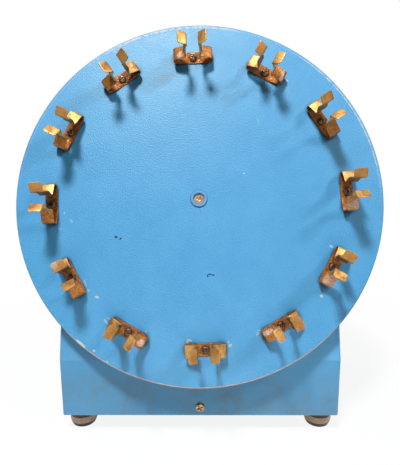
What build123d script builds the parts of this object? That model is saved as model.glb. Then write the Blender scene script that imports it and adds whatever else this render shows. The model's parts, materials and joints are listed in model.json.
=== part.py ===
"""Tube rotator for the bench: a tilted disc with twelve spring clips for test tubes, turned by a
geared synchronous motor inside a bent sheet-metal housing on four feet.

Units are millimetres and degrees. The origin is on the bench under the middle of the whole
machine, +Z is up, and the disc faces -Y.
"""
from build123d import *
from math import acos, cos, degrees, pi, radians, sin, tan
import os

# ---------------------------------------------------------------- driving dimensions
# Disc and hub
disc_diameter = 304.8
disc_thickness = 3.2
disc_edge_radius = 1.2
disc_tilt = 15.0
disc_height = 200.0
disc_gap = 11.8
hub_ring_diameter = 13.8
hub_ring_height = 1.2
hub_flange_diameter = 42.0
hub_flange_thickness = 3.0
hub_collar_diameter = 24.0
hub_collar_length = 7.4
set_screw_diameter = 5.0
set_screw_recess = 0.5

# Spring clips
clip_count = 12
clip_rim_inset = 30.4
clip_lead_angle = 2.25
clip_width = 10.2
clip_strip = 0.8
clip_seat_half = 5.2
clip_half_length = 16.3
clip_heel_rise = 2.6
clip_shoulder_height = 7.9
clip_root_half = 5.7
clip_root_height = 12.0
clip_belly_half = 8.1
clip_belly_height = 20.6
clip_neck_half = 4.6
clip_neck_height = 28.6
clip_tip_half = 11.1
clip_tip_height = 33.2
clip_fold_radius = 1.9
clip_crease_radius = 1.3
clip_belly_radius = 12.0
clip_base_radius = 14.0
clip_screw_diameter = 3.5
clip_screw_head_diameter = 6.2
clip_screw_head_height = 2.2
clip_nut_flats = 7.9
clip_nut_thickness = 2.8
clip_washer_diameter = 7.4
clip_washer_thickness = 0.8
screw_tail = 1.0
screw_edge_share = 0.7

# Housing
housing_width = 235.0
housing_depth = 200.0
housing_top = 262.0
bend_height = 67.0
foot_height = 17.0
front_face_y = -81.1
sheet = 1.2
bend_radius = 2.4
corner_radius = 2.0
lip_width = 13.0
base_sheet = 1.5
base_flange_height = 16.0
base_bend_radius = 2.5
slip_gap = 0.3
case_screw_diameter = 4.0
case_screw_head_diameter = 8.0
case_screw_head_height = 2.6
case_screw_length = 9.0
front_screw_rise = 8.0
rear_sheet = 1.2
rear_screw_inset = 6.5
rear_screw_end_inset = 19.5
vent_length = 46.0
vent_width = 3.2
vent_pitch = 8.0
vent_rows = 7
vent_top = 238.0

# Feet
foot_diameter = 23.7
foot_bottom_diameter = 21.4
foot_taper_height = 6.0
foot_taper_bulge = 0.3
foot_pad_thickness = 1.5
foot_pad_inset = 0.5
foot_recess_diameter = 10.0
foot_recess_depth = 9.0
foot_side_inset = 12.5
foot_end_inset = 18.5
foot_screw_diameter = 4.0
foot_screw_head_diameter = 8.0
foot_screw_head_height = 2.6
foot_nut_flats = 7.0
foot_nut_thickness = 3.0

# Drive shaft, bearings and gear train
shaft_diameter = 9.5
shaft_tail_diameter = 8.0
shaft_recess = 1.5
shaft_dimple_diameter = 4.0
shaft_dimple_depth = 1.2
shaft_dimple_taper = 30.0
running_gap = 0.04
plate_width = 104.0
plate_height = 96.0
plate_thickness = 4.0
plate_corner_radius = 8.0
plate_drop = 16.0
plate_spacing = 25.0
rear_plate_thickness = 3.0
post_diameter = 9.0
post_inset = 8.0
post_screw_diameter = 4.0
bush_wall = 2.2
bush_flange = 2.4
bush_flange_thickness = 1.6
shaft_hole_gap = 1.5
pressure_angle = 25.0
tooth_height = 0.9
root_clearance = 0.3
backlash = 0.16
output_teeth = 45
idler_pinion_teeth = 15
output_module = 1.0
idler_wheel_teeth = 60
motor_pinion_teeth = 12
motor_module = 0.8
output_face = 8.0
idler_face = 5.0
idler_angle = -30.0
motor_angle = 210.0
gear_front_gap = 1.5
gear_stack_gap = 3.5
output_boss_diameter = 18.0
output_boss_length = 3.0
cross_pin_diameter = 2.0
idler_pin_diameter = 5.0
idler_sleeve_diameter = 9.4
wheel_web_thickness = 2.4
wheel_rim = 3.2
wheel_hole_diameter = 9.0
wheel_hole_count = 6

# Motor
motor_diameter = 54.0
motor_length = 24.0
motor_wall = 1.2
motor_flange_thickness = 1.6
motor_ear_spacing = 64.0
motor_ear_diameter = 11.0
motor_screw_diameter = 3.5
motor_screw_head_diameter = 6.5
motor_screw_head_height = 2.2
motor_shaft_diameter = 3.2
motor_boss_diameter = 10.0
motor_boss_length = 3.0
pole_count = 10
pole_width = 3.6
pole_thickness = 1.2
pole_length = 15.0
rotor_diameter = 26.0
rotor_length = 17.0
rotor_gap = 0.6
bobbin_wall = 1.2
bobbin_gap = 0.4
winding_gap = 0.1

# Electrical pieces
capacitor_diameter = 28.0
capacitor_length = 48.0
capacitor_lug = 5.0
capacitor_lug_thickness = 0.6
capacitor_lug_length = 7.5
capacitor_edge_radius = 1.5
clamp_strip = 1.0
clamp_width = 12.0
clamp_ear = 11.0
capacitor_x = -62.0
capacitor_y = 40.0
terminal_length = 34.0
terminal_depth = 18.0
terminal_height = 15.0
terminal_ways = 3
terminal_ear = 7.0
terminal_ear_depth = 9.0
terminal_screw_inset = 3.5
terminal_way_diameter = 4.3
terminal_way_depth = 6.8
terminal_x = 30.0
terminal_y = 62.0
base_screw_diameter = 3.0
base_screw_head_diameter = 5.8
base_screw_head_height = 2.0
base_screw_length = 7.0
inlet_x = 72.0
inlet_z = 50.0
inlet_flange_width = 50.0
inlet_flange_height = 23.0
inlet_flange_thickness = 3.0
inlet_body_width = 28.0
inlet_body_height = 20.4
inlet_body_depth = 22.0
inlet_recess_width = 24.4
inlet_recess_height = 16.6
inlet_recess_depth = 18.0
inlet_recess_chamfer = 4.5
inlet_screw_spacing = 40.0
inlet_pin_width = 2.0
inlet_pin_height = 4.0
inlet_pin_length = 11.0
inlet_pin_pitch = 7.0
inlet_pin_rise = 1.0
inlet_pin_tail = 8.0
switch_x = 24.0
switch_z = 50.0
bezel_width = 15.0
bezel_height = 21.0
bezel_thickness = 2.0
switch_body_width = 12.8
switch_body_height = 18.8
switch_body_depth = 15.0
rocker_width = 8.6
rocker_half_height = 7.0
rocker_gap = 0.4
rocker_swing = 18.0
rocker_rise = 2.2
rocker_end_rise = 4.2
rocker_depth = 5.6
rocker_lip = 0.3
rocker_floor_gap = 1.2
pivot_pin_diameter = 2.0
pivot_pin_length = 1.2
pivot_pin_end_gap = 0.35
pivot_depth = 1.0

# ---------------------------------------------------------------- worked out from them
clip_circle_diameter = disc_diameter - 2 * clip_rim_inset
tilt = radians(disc_tilt)
housing_bottom = foot_height
rear_face_y = front_face_y + housing_depth
panel_depth = disc_thickness + disc_gap
disc_y = (
    front_face_y - panel_depth * cos(tilt)
    + (disc_height - panel_depth * sin(tilt) - bend_height) * tan(tilt)
)
slope_top_y = front_face_y + (housing_top - bend_height) * tan(tilt)
face_plane = Plane(
    origin=(0, disc_y, disc_height), x_dir=(1, 0, 0), z_dir=(0, -cos(tilt), sin(tilt))
)
plate_front = panel_depth + sheet
plate_back = plate_front + plate_thickness
rear_plate_front = plate_back + plate_spacing
rear_plate_back = rear_plate_front + rear_plate_thickness
base_top = housing_bottom + base_sheet


def behind(depth):
    """The plane parallel to the disc, this far behind its front face, facing forwards."""
    return face_plane.offset(-depth)


def save(builder, name):
    """Label a finished piece and write it as its own node."""
    builder.part.label = name
    export_step(builder.part, f"parts/{name}.step")


def pan_screw(head_diameter, head_height, shank_diameter, length):
    """A pan-head screw, seated on z = 0 with its shank towards -z."""
    with BuildPart() as screw:
        with BuildSketch(Plane.XY):
            Circle(head_diameter / 2)
        extrude(amount=head_height)
        fillet(screw.edges().group_by(Axis.Z)[-1], head_height * screw_edge_share)
        with BuildSketch(Plane.XY):
            Circle(shank_diameter / 2)
        extrude(amount=-length)
    return screw.part


os.makedirs("parts", exist_ok=True)

# ---------------------------------------------------------------- disc and hub
with BuildPart() as disc:
    with BuildSketch(behind(disc_thickness)):
        Circle(disc_diameter / 2)
        Circle(hub_ring_diameter / 2, mode=Mode.SUBTRACT)
        with PolarLocations(
            clip_circle_diameter / 2, clip_count, start_angle=90 + clip_lead_angle
        ):
            Circle(clip_screw_diameter / 2, mode=Mode.SUBTRACT)
    extrude(amount=disc_thickness)
    rim = disc.edges().filter_by(GeomType.CIRCLE).sort_by(SortBy.RADIUS)[-2:]
    fillet(rim, disc_edge_radius)
save(disc, "disc")

# The hub is pressed through the disc, seated on a flange behind it and clamped on the shaft.
with BuildPart() as disc_hub:
    with BuildSketch(behind(disc_thickness)):
        Circle(hub_ring_diameter / 2)
    extrude(amount=disc_thickness + hub_ring_height)
    with BuildSketch(behind(disc_thickness)):
        Circle(hub_flange_diameter / 2)
    extrude(amount=-hub_flange_thickness)
    with BuildSketch(behind(disc_thickness + hub_flange_thickness)):
        Circle(hub_collar_diameter / 2)
    extrude(amount=-hub_collar_length)
    outward = Axis(face_plane.origin, face_plane.z_dir)
    front_ring = disc_hub.edges().filter_by(GeomType.CIRCLE).group_by(outward)[-1]
    fillet(front_ring, hub_ring_height / 2)
    with BuildSketch(face_plane.offset(hub_ring_height)):
        Circle(shaft_diameter / 2 + running_gap)
    extrude(amount=-hub_ring_height - panel_depth, mode=Mode.SUBTRACT)
    set_screw_plane = Plane(
        origin=behind(disc_thickness + hub_flange_thickness + hub_collar_length / 2).origin,
        x_dir=face_plane.z_dir,
        z_dir=(1, 0, 0),
    )
    with BuildSketch(set_screw_plane):
        Circle(set_screw_diameter / 2)
    extrude(amount=hub_collar_diameter, mode=Mode.SUBTRACT)
save(disc_hub, "disc_hub")

with BuildPart() as hub_set_screw:
    with BuildSketch(set_screw_plane.offset(shaft_diameter / 2 + running_gap)):
        Circle(set_screw_diameter / 2 - running_gap)
    extrude(amount=(hub_collar_diameter - shaft_diameter) / 2 - 2 * running_gap - set_screw_recess)
    with BuildSketch(hub_set_screw.faces().sort_by(Axis.X)[-1]):
        RegularPolygon(set_screw_diameter / 4, 6)
    extrude(amount=-set_screw_diameter / 2, mode=Mode.SUBTRACT)
save(hub_set_screw, "hub_set_screw")

# ---------------------------------------------------------------- spring clips and their screws
# One clip is a single strip, bent to the same profile left and right of its screw: seat, heel
# fold, sloping shoulder, bowed jaw, neck and flared tip. x is radial, y tangential, z outward.
with BuildPart() as clip_blank:
    with BuildLine() as clip_path:
        FilletPolyline(
            (0, 0, clip_strip / 2),
            (0, clip_seat_half, clip_strip / 2),
            (0, clip_half_length - clip_strip / 2, clip_heel_rise),
            (0, clip_half_length - clip_strip / 2, clip_shoulder_height),
            (0, clip_root_half, clip_root_height),
            (0, clip_belly_half, clip_belly_height),
            (0, clip_neck_half, clip_neck_height),
            (0, clip_tip_half, clip_tip_height),
            radius=[
                clip_base_radius, clip_fold_radius, clip_fold_radius, clip_crease_radius,
                clip_belly_radius, clip_crease_radius,
            ],
        )
    with BuildSketch(Plane(origin=(0, 0, clip_strip / 2), x_dir=(1, 0, 0), z_dir=(0, 1, 0))):
        Rectangle(clip_width, clip_strip)
    sweep(path=clip_path.wire())
    mirror(about=Plane.XZ)
    with BuildSketch(Plane.XY):
        Circle(clip_screw_diameter / 2 + running_gap)
    extrude(amount=clip_heel_rise, mode=Mode.SUBTRACT)

clip_screw_blank = pan_screw(
    clip_screw_head_diameter,
    clip_screw_head_height,
    clip_screw_diameter - 2 * running_gap,
    clip_strip + disc_thickness + clip_washer_thickness + clip_nut_thickness + screw_tail,
)

for hour in range(1, clip_count + 1):
    hour_angle = 90 + clip_lead_angle - hour * 360 / clip_count
    with BuildPart(face_plane) as clip:
        with PolarLocations(clip_circle_diameter / 2, 1, start_angle=hour_angle):
            add(clip_blank.part)
    save(clip, f"clip_{hour:02d}")

with BuildPart(face_plane.offset(clip_strip)) as clip_screws:
    with PolarLocations(clip_circle_diameter / 2, clip_count, start_angle=90 + clip_lead_angle):
        add(clip_screw_blank)
save(clip_screws, "clip_screws")

with BuildPart() as clip_washers:
    with BuildSketch(behind(disc_thickness)):
        with PolarLocations(
            clip_circle_diameter / 2, clip_count, start_angle=90 + clip_lead_angle
        ):
            Circle(clip_washer_diameter / 2)
            Circle(clip_screw_diameter / 2 + running_gap, mode=Mode.SUBTRACT)
    extrude(amount=-clip_washer_thickness)
save(clip_washers, "clip_washers")

with BuildPart() as clip_nuts:
    with BuildSketch(behind(disc_thickness + clip_washer_thickness)):
        with PolarLocations(
            clip_circle_diameter / 2, clip_count, start_angle=90 + clip_lead_angle
        ):
            RegularPolygon(clip_nut_flats / 2, 6, major_radius=False)
            Circle(clip_screw_diameter / 2, mode=Mode.SUBTRACT)
    extrude(amount=-clip_nut_thickness)
save(clip_nuts, "clip_nuts")

# ---------------------------------------------------------------- housing
panel_plane = behind(panel_depth)
plate_screw_x = plate_width / 2 - post_inset
plate_screw_y = plate_height / 2 - post_inset


def plate_screw_places():
    """Places of the four gear-plate screws, about the gear plate's middle below the shaft."""
    return GridLocations(2 * plate_screw_x, 2 * plate_screw_y, 2, 2)


def plate_centre(plane):
    """The gear plate's middle on a plane parallel to the disc."""
    return Plane(
        origin=plane.from_local_coords((0, -plate_drop, 0)),
        x_dir=plane.x_dir,
        z_dir=plane.z_dir,
    )


front_screw_z = housing_bottom + front_screw_rise
rear_lip_plane = Plane(
    origin=(0, rear_face_y, (housing_bottom + housing_top) / 2), x_dir=(-1, 0, 0), z_dir=(0, 1, 0)
)
housing_height = housing_top - housing_bottom
front_screw_plane = Plane(origin=(0, front_face_y, front_screw_z), x_dir=(1, 0, 0), z_dir=(0, -1, 0))
rear_screw_plane = Plane(origin=(0, rear_face_y, front_screw_z), x_dir=(-1, 0, 0), z_dir=(0, 1, 0))


def rear_screw_places():
    """Places of the four screws that hold the rear panel on the housing's lips."""
    return GridLocations(
        housing_width - 2 * rear_screw_inset, housing_height - 2 * rear_screw_end_inset, 2, 2
    )


with BuildPart() as housing_shell:
    with BuildSketch(Plane.YZ):
        with BuildLine():
            Polyline(
                (front_face_y, housing_bottom),
                (front_face_y, bend_height),
                (slope_top_y, housing_top),
                (rear_face_y, housing_top),
                (rear_face_y, housing_bottom),
                close=True,
            )
        make_face()
    extrude(amount=housing_width / 2, both=True)
    across = housing_shell.edges().filter_by(Axis.X)
    fillet(across.group_by(Axis.Y)[0].sort_by(Axis.Z)[-1:], bend_radius)
    across = housing_shell.edges().filter_by(Axis.X)
    fillet(across.group_by(Axis.Z)[-1].sort_by(Axis.Y)[:1], bend_radius)
    cheeks = housing_shell.faces().filter_by(Plane.YZ)
    cheek_edges = cheeks.edges().filter_by(
        lambda edge: edge.center().Z > housing_bottom + sheet
        and edge.center().Y < rear_face_y - sheet
    )
    fillet(cheek_edges, corner_radius)
    openings = [
        housing_shell.faces().sort_by(Axis.Y)[-1],
        housing_shell.faces().sort_by(Axis.Z)[0],
    ]
    offset(amount=-sheet, openings=openings)
    # Lips turned inwards round the open back take the rear panel's screws.
    with BuildSketch(rear_lip_plane):
        Rectangle(housing_width - 2 * sheet, housing_height)
        with Locations((0, -lip_width)):
            Rectangle(housing_width - 2 * lip_width, housing_height, mode=Mode.SUBTRACT)
        with rear_screw_places():
            Circle(case_screw_diameter / 2, mode=Mode.SUBTRACT)
    extrude(amount=-sheet)
    with BuildSketch(panel_plane):
        Circle(shaft_diameter / 2 + shaft_hole_gap)
    extrude(amount=-2 * sheet, mode=Mode.SUBTRACT)
    with BuildSketch(plate_centre(panel_plane)):
        with plate_screw_places():
            Circle(post_screw_diameter / 2)
    extrude(amount=-2 * sheet, mode=Mode.SUBTRACT)
    with BuildSketch(front_screw_plane):
        Circle(case_screw_diameter / 2)
    extrude(amount=-2 * sheet, mode=Mode.SUBTRACT)
save(housing_shell, "housing_shell")

base_front_y = front_face_y + sheet + slip_gap
base_rear_y = rear_face_y - sheet - slip_gap
base_width = housing_width - 2 * sheet - 2 * slip_gap
foot_x = housing_width / 2 - foot_side_inset
foot_spacing_y = housing_depth - 2 * foot_end_inset
foot_middle_y = (front_face_y + rear_face_y) / 2


def foot_places():
    """Places of the four feet about the middle of the base."""
    return GridLocations(2 * foot_x, foot_spacing_y, 2, 2)


capacitor_ear_x = capacitor_diameter / 2 + clamp_strip + clamp_ear / 2
terminal_screw_x = terminal_length / 2 - terminal_screw_inset
base_screw_points = [
    (capacitor_x, capacitor_y + capacitor_ear_x),
    (capacitor_x, capacitor_y - capacitor_ear_x),
    (terminal_x + terminal_screw_x, terminal_y),
    (terminal_x - terminal_screw_x, terminal_y),
]

with BuildPart() as base_plate:
    with BuildSketch(Plane.YZ):
        with BuildLine():
            Polyline(
                (base_front_y, housing_bottom),
                (base_front_y, housing_bottom + base_flange_height),
                (base_front_y + base_sheet, housing_bottom + base_flange_height),
                (base_front_y + base_sheet, base_top),
                (base_rear_y - base_sheet, base_top),
                (base_rear_y - base_sheet, housing_bottom + base_flange_height),
                (base_rear_y, housing_bottom + base_flange_height),
                (base_rear_y, housing_bottom),
                close=True,
            )
        make_face()
    extrude(amount=base_width / 2, both=True)
    bends = base_plate.edges().filter_by(Axis.X).group_by(Axis.Z)[0]
    fillet(bends, base_bend_radius)
    inner_bends = base_plate.edges().filter_by(Axis.X).filter_by(
        lambda edge: abs(edge.center().Z - base_top) < slip_gap
    )
    fillet(inner_bends, base_bend_radius - base_sheet)
    with BuildSketch(Plane.XY.offset(housing_bottom)):
        with Locations((0, foot_middle_y)):
            with foot_places():
                Circle(foot_screw_diameter / 2)
        with Locations(*base_screw_points):
            Circle(base_screw_diameter / 2)
    extrude(amount=base_sheet, mode=Mode.SUBTRACT)
    with BuildSketch(front_screw_plane):
        Circle(case_screw_diameter / 2)
    extrude(amount=-3 * base_sheet - slip_gap, mode=Mode.SUBTRACT)
    with BuildSketch(rear_screw_plane):
        Circle(case_screw_diameter / 2)
    extrude(amount=-3 * base_sheet - slip_gap, mode=Mode.SUBTRACT)
save(base_plate, "base_plate")

rear_outer_y = rear_face_y + rear_sheet


def rear_plane(x, z):
    """A plane on the rear panel's outer face, facing backwards, with its own z up."""
    return Plane(origin=(x, rear_outer_y, z), x_dir=(-1, 0, 0), z_dir=(0, 1, 0))


rear_middle = rear_plane(0, (housing_bottom + housing_top) / 2)
inlet_plane = rear_plane(inlet_x, inlet_z)
switch_plane = rear_plane(switch_x, switch_z)
with BuildPart() as rear_panel:
    with BuildSketch(rear_middle):
        Rectangle(housing_width, housing_height)
        with rear_screw_places():
            Circle(case_screw_diameter / 2, mode=Mode.SUBTRACT)
    extrude(amount=-rear_sheet)
    with BuildSketch(rear_plane(0, vent_top - (vent_rows - 1) * vent_pitch / 2)):
        with GridLocations(vent_length + vent_pitch, vent_pitch, 3, vent_rows):
            SlotOverall(vent_length, vent_width)
    extrude(amount=-rear_sheet, mode=Mode.SUBTRACT)
    with BuildSketch(inlet_plane):
        Rectangle(inlet_body_width + slip_gap, inlet_body_height + slip_gap)
        with GridLocations(inlet_screw_spacing, 0, 2, 1):
            Circle(base_screw_diameter / 2)
    extrude(amount=-rear_sheet, mode=Mode.SUBTRACT)
    with BuildSketch(switch_plane):
        Rectangle(switch_body_width + slip_gap, switch_body_height + slip_gap)
    extrude(amount=-rear_sheet, mode=Mode.SUBTRACT)
    with BuildSketch(rear_screw_plane):
        Circle(case_screw_diameter / 2)
    extrude(amount=rear_sheet, mode=Mode.SUBTRACT)
save(rear_panel, "rear_panel")

# Screws: one in the middle of the front edge, one in the middle of the rear edge and four
# round the rear panel.
case_screw_blank = pan_screw(
    case_screw_head_diameter,
    case_screw_head_height,
    case_screw_diameter - 2 * running_gap,
    case_screw_length,
)
with BuildPart() as case_screws:
    with Locations(front_screw_plane):
        add(case_screw_blank)
    with Locations(rear_plane(0, front_screw_z)):
        add(case_screw_blank)
    with Locations(rear_middle):
        with rear_screw_places():
            add(case_screw_blank)
save(case_screws, "case_screws")

# ---------------------------------------------------------------- feet
pad_top = foot_pad_thickness
with BuildPart() as foot_blank:
    with BuildSketch(Plane.XZ):
        with BuildLine():
            Polyline(
                (foot_screw_diameter / 2 + running_gap, housing_bottom),
                (foot_diameter / 2, housing_bottom),
                (foot_diameter / 2, foot_taper_height),
            )
            ThreePointArc(
                (foot_diameter / 2, foot_taper_height),
                (
                    foot_diameter / 2
                    - foot_taper_bulge * (foot_diameter - foot_bottom_diameter) / 2,
                    (foot_taper_height + pad_top) / 2,
                ),
                (foot_bottom_diameter / 2, pad_top),
            )
            Polyline(
                (foot_bottom_diameter / 2, pad_top),
                (foot_recess_diameter / 2, pad_top),
                (foot_recess_diameter / 2, foot_recess_depth),
                (foot_screw_diameter / 2 + running_gap, foot_recess_depth),
                (foot_screw_diameter / 2 + running_gap, housing_bottom),
            )
        make_face()
    revolve(axis=Axis.Z)

for row, row_sign in (("front", -1), ("rear", 1)):
    for side, side_sign in (("left", -1), ("right", 1)):
        foot_place = (side_sign * foot_x, foot_middle_y + row_sign * foot_spacing_y / 2, 0)
        with BuildPart() as foot:
            with Locations(foot_place):
                add(foot_blank.part)
        save(foot, f"foot_{row}_{side}")

with BuildPart() as foot_pads:
    with BuildSketch(Plane.XY):
        with Locations((0, foot_middle_y)):
            with foot_places():
                Circle(foot_bottom_diameter / 2 - foot_pad_inset)
                Circle(foot_recess_diameter / 2 + foot_pad_inset, mode=Mode.SUBTRACT)
    extrude(amount=foot_pad_thickness)
    fillet(foot_pads.edges().group_by(Axis.Z)[0], foot_pad_inset)
save(foot_pads, "foot_pads")

foot_screw_blank = pan_screw(
    foot_screw_head_diameter,
    foot_screw_head_height,
    foot_screw_diameter - 2 * running_gap,
    base_top - foot_recess_depth + foot_nut_thickness + screw_tail,
)
foot_screw_plane = Plane(
    origin=(0, foot_middle_y, foot_recess_depth), x_dir=(1, 0, 0), z_dir=(0, 0, -1)
)
with BuildPart() as foot_screws:
    with Locations(foot_screw_plane):
        with foot_places():
            add(foot_screw_blank)
save(foot_screws, "foot_screws")

with BuildPart() as foot_nuts:
    with BuildSketch(Plane.XY.offset(base_top)):
        with Locations((0, foot_middle_y)):
            with foot_places():
                RegularPolygon(foot_nut_flats / 2, 6, major_radius=False)
                Circle(foot_screw_diameter / 2, mode=Mode.SUBTRACT)
    extrude(amount=foot_nut_thickness)
save(foot_nuts, "foot_nuts")

# ---------------------------------------------------------------- gear plates and posts
idler_distance = output_module * (output_teeth + idler_pinion_teeth) / 2
motor_distance = motor_module * (idler_wheel_teeth + motor_pinion_teeth) / 2
idler_x = idler_distance * cos(radians(idler_angle))
idler_y = idler_distance * sin(radians(idler_angle))
motor_x = idler_x + motor_distance * cos(radians(motor_angle))
motor_y = idler_y + motor_distance * sin(radians(motor_angle))
front_bush_outer = shaft_diameter / 2 + bush_wall
rear_bush_outer = shaft_tail_diameter / 2 + bush_wall
motor_boss_bore = motor_boss_diameter / 2 + slip_gap


def on_axis(plane, x, y):
    """A plane parallel to the disc moved across to the gear axis at (x, y)."""
    return Plane(origin=plane.from_local_coords((x, y, 0)), x_dir=plane.x_dir, z_dir=plane.z_dir)


def gear_plate(front_depth, thickness, bush_radius):
    """One gear plate: rounded rectangle with the shaft, idler-pin and post-screw holes."""
    with BuildPart() as plate:
        with BuildSketch(plate_centre(behind(front_depth))):
            RectangleRounded(plate_width, plate_height, plate_corner_radius)
            with plate_screw_places():
                Circle(post_screw_diameter / 2, mode=Mode.SUBTRACT)
            with Locations((0, plate_drop)):
                Circle(bush_radius, mode=Mode.SUBTRACT)
            with Locations((idler_x, idler_y + plate_drop)):
                Circle(idler_pin_diameter / 2, mode=Mode.SUBTRACT)
        extrude(amount=-thickness)
    return plate.part


with BuildPart() as gear_plate_front:
    add(gear_plate(plate_front, plate_thickness, front_bush_outer))
save(gear_plate_front, "gear_plate_front")

with BuildPart() as gear_plate_rear:
    add(gear_plate(rear_plate_front, rear_plate_thickness, rear_bush_outer))
    motor_rear_plane = on_axis(behind(rear_plate_front), motor_x, motor_y)
    with BuildSketch(motor_rear_plane):
        Circle(motor_boss_bore)
        with GridLocations(motor_ear_spacing, 0, 2, 1):
            Circle(motor_screw_diameter / 2)
    extrude(amount=-rear_plate_thickness, mode=Mode.SUBTRACT)
save(gear_plate_rear, "gear_plate_rear")

with BuildPart() as gear_posts:
    with BuildSketch(plate_centre(behind(plate_back))):
        with plate_screw_places():
            Circle(post_diameter / 2)
            Circle(post_screw_diameter / 2, mode=Mode.SUBTRACT)
    extrude(amount=-plate_spacing)
save(gear_posts, "gear_posts")

post_screw_reach = plate_spacing / 3
panel_screw_blank = pan_screw(
    case_screw_head_diameter,
    case_screw_head_height,
    post_screw_diameter - 2 * running_gap,
    sheet + plate_thickness + post_screw_reach,
)
with BuildPart() as panel_screws:
    with Locations(plate_centre(panel_plane)):
        with plate_screw_places():
            add(panel_screw_blank)
save(panel_screws, "panel_screws")

rear_post_screw_blank = pan_screw(
    case_screw_head_diameter,
    case_screw_head_height,
    post_screw_diameter - 2 * running_gap,
    rear_plate_thickness + post_screw_reach,
)


def facing_back(plane):
    """The same place, seen from behind: normal away from the disc."""
    return Plane(origin=plane.origin, x_dir=-plane.x_dir, z_dir=-plane.z_dir)


with BuildPart() as gear_plate_screws:
    with Locations(facing_back(plate_centre(behind(rear_plate_back)))):
        with plate_screw_places():
            add(rear_post_screw_blank)
save(gear_plate_screws, "gear_plate_screws")


def bush(front_depth, length, outer_radius, bore_radius, flange_ahead):
    """A flanged sintered-bronze bush whose flange sits ahead of, or behind, its plate."""
    with BuildPart() as sleeve:
        with BuildSketch(behind(front_depth)):
            Circle(outer_radius)
        extrude(amount=-length)
        with BuildSketch(behind(front_depth if flange_ahead else front_depth + length)):
            Circle(outer_radius + bush_flange)
        extrude(amount=bush_flange_thickness if flange_ahead else -bush_flange_thickness)
        with BuildSketch(behind(front_depth - bush_flange_thickness)):
            Circle(bore_radius)
        extrude(amount=-length - 2 * bush_flange_thickness, mode=Mode.SUBTRACT)
    return sleeve.part


front_bore = shaft_diameter / 2 + running_gap
rear_bore = shaft_tail_diameter / 2 + running_gap
with BuildPart() as shaft_bush_front:
    add(bush(plate_front, plate_thickness, front_bush_outer, front_bore, False))
save(shaft_bush_front, "shaft_bush_front")

with BuildPart() as shaft_bush_rear:
    add(bush(rear_plate_front, rear_plate_thickness, rear_bush_outer, rear_bore, True))
save(shaft_bush_rear, "shaft_bush_rear")

# ---------------------------------------------------------------- gear train
def involute(angle):
    """The involute function of a pressure angle in radians."""
    return tan(angle) - angle


def gear_part(plane, teeth, module, face, mesh_angle):
    """A spur gear on a plane, face width behind it, one tooth centred on mesh_angle."""
    pitch_radius = module * teeth / 2
    base_radius = pitch_radius * cos(radians(pressure_angle))
    tip_radius = pitch_radius + tooth_height * module
    root_radius = pitch_radius - (tooth_height + root_clearance) * module
    start_radius = max(base_radius, root_radius)
    half_pitch_tooth = pi / (2 * teeth) - backlash / (4 * pitch_radius)

    def flank(radius, side, middle):
        """A point on a tooth flank at this radius."""
        contact = acos(min(1, base_radius / radius))
        half = half_pitch_tooth + involute(radians(pressure_angle)) - involute(contact)
        angle = middle + side * half
        return (radius * cos(angle), radius * sin(angle))

    with BuildPart() as gear:
        with BuildSketch(plane):
            with BuildLine():
                middle_radius = (start_radius + tip_radius) / 2
                for tooth in range(teeth):
                    middle = radians(mesh_angle) + tooth * 2 * pi / teeth
                    following = middle + 2 * pi / teeth
                    rising = flank(start_radius, -1, middle)
                    falling = flank(start_radius, 1, middle)
                    shrink = root_radius / start_radius
                    root_in = (rising[0] * shrink, rising[1] * shrink)
                    root_out = (falling[0] * shrink, falling[1] * shrink)
                    next_rising = flank(start_radius, -1, following)
                    next_root = (next_rising[0] * shrink, next_rising[1] * shrink)
                    if shrink < 1:
                        Line(root_in, rising)
                    ThreePointArc(
                        rising, flank(middle_radius, -1, middle), flank(tip_radius, -1, middle)
                    )
                    Line(flank(tip_radius, -1, middle), flank(tip_radius, 1, middle))
                    ThreePointArc(
                        flank(tip_radius, 1, middle), flank(middle_radius, 1, middle), falling
                    )
                    if shrink < 1:
                        Line(falling, root_out)
                    Line(root_out, next_root)
            make_face()
        extrude(amount=-face)
    return gear.part


gear_front = plate_back + bush_flange_thickness + gear_front_gap
output_back = gear_front + output_face
boss_back = output_back + output_boss_length
wheel_front = output_back + gear_stack_gap
wheel_back = wheel_front + idler_face
output_plane = behind(gear_front)
cross_pin_depth = output_back + output_boss_length / 2

with BuildPart() as output_gear:
    add(gear_part(output_plane, output_teeth, output_module, output_face, idler_angle))
    web_radius = output_module * output_teeth / 2 - wheel_rim
    with BuildSketch(output_plane):
        Circle(web_radius)
        Circle(output_boss_diameter / 2, mode=Mode.SUBTRACT)
    extrude(amount=-(output_face - wheel_web_thickness) / 2, mode=Mode.SUBTRACT)
    with BuildSketch(behind(output_back)):
        Circle(web_radius)
        Circle(output_boss_diameter / 2, mode=Mode.SUBTRACT)
    extrude(amount=(output_face - wheel_web_thickness) / 2, mode=Mode.SUBTRACT)
    with BuildSketch(behind(output_back)):
        Circle(output_boss_diameter / 2)
    extrude(amount=-output_boss_length)
    with BuildSketch(output_plane):
        Circle(shaft_diameter / 2)
    extrude(amount=-output_face - output_boss_length, mode=Mode.SUBTRACT)
    cross_pin_plane = Plane(
        origin=behind(cross_pin_depth).from_local_coords((-output_boss_diameter / 2, 0, 0)),
        x_dir=face_plane.z_dir,
        z_dir=(1, 0, 0),
    )
    with BuildSketch(cross_pin_plane):
        Circle(cross_pin_diameter / 2)
    extrude(amount=output_boss_diameter, mode=Mode.SUBTRACT)
save(output_gear, "output_gear")

with BuildPart() as cross_pin:
    with BuildSketch(cross_pin_plane):
        Circle(cross_pin_diameter / 2)
    extrude(amount=output_boss_diameter)
save(cross_pin, "cross_pin")

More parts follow.
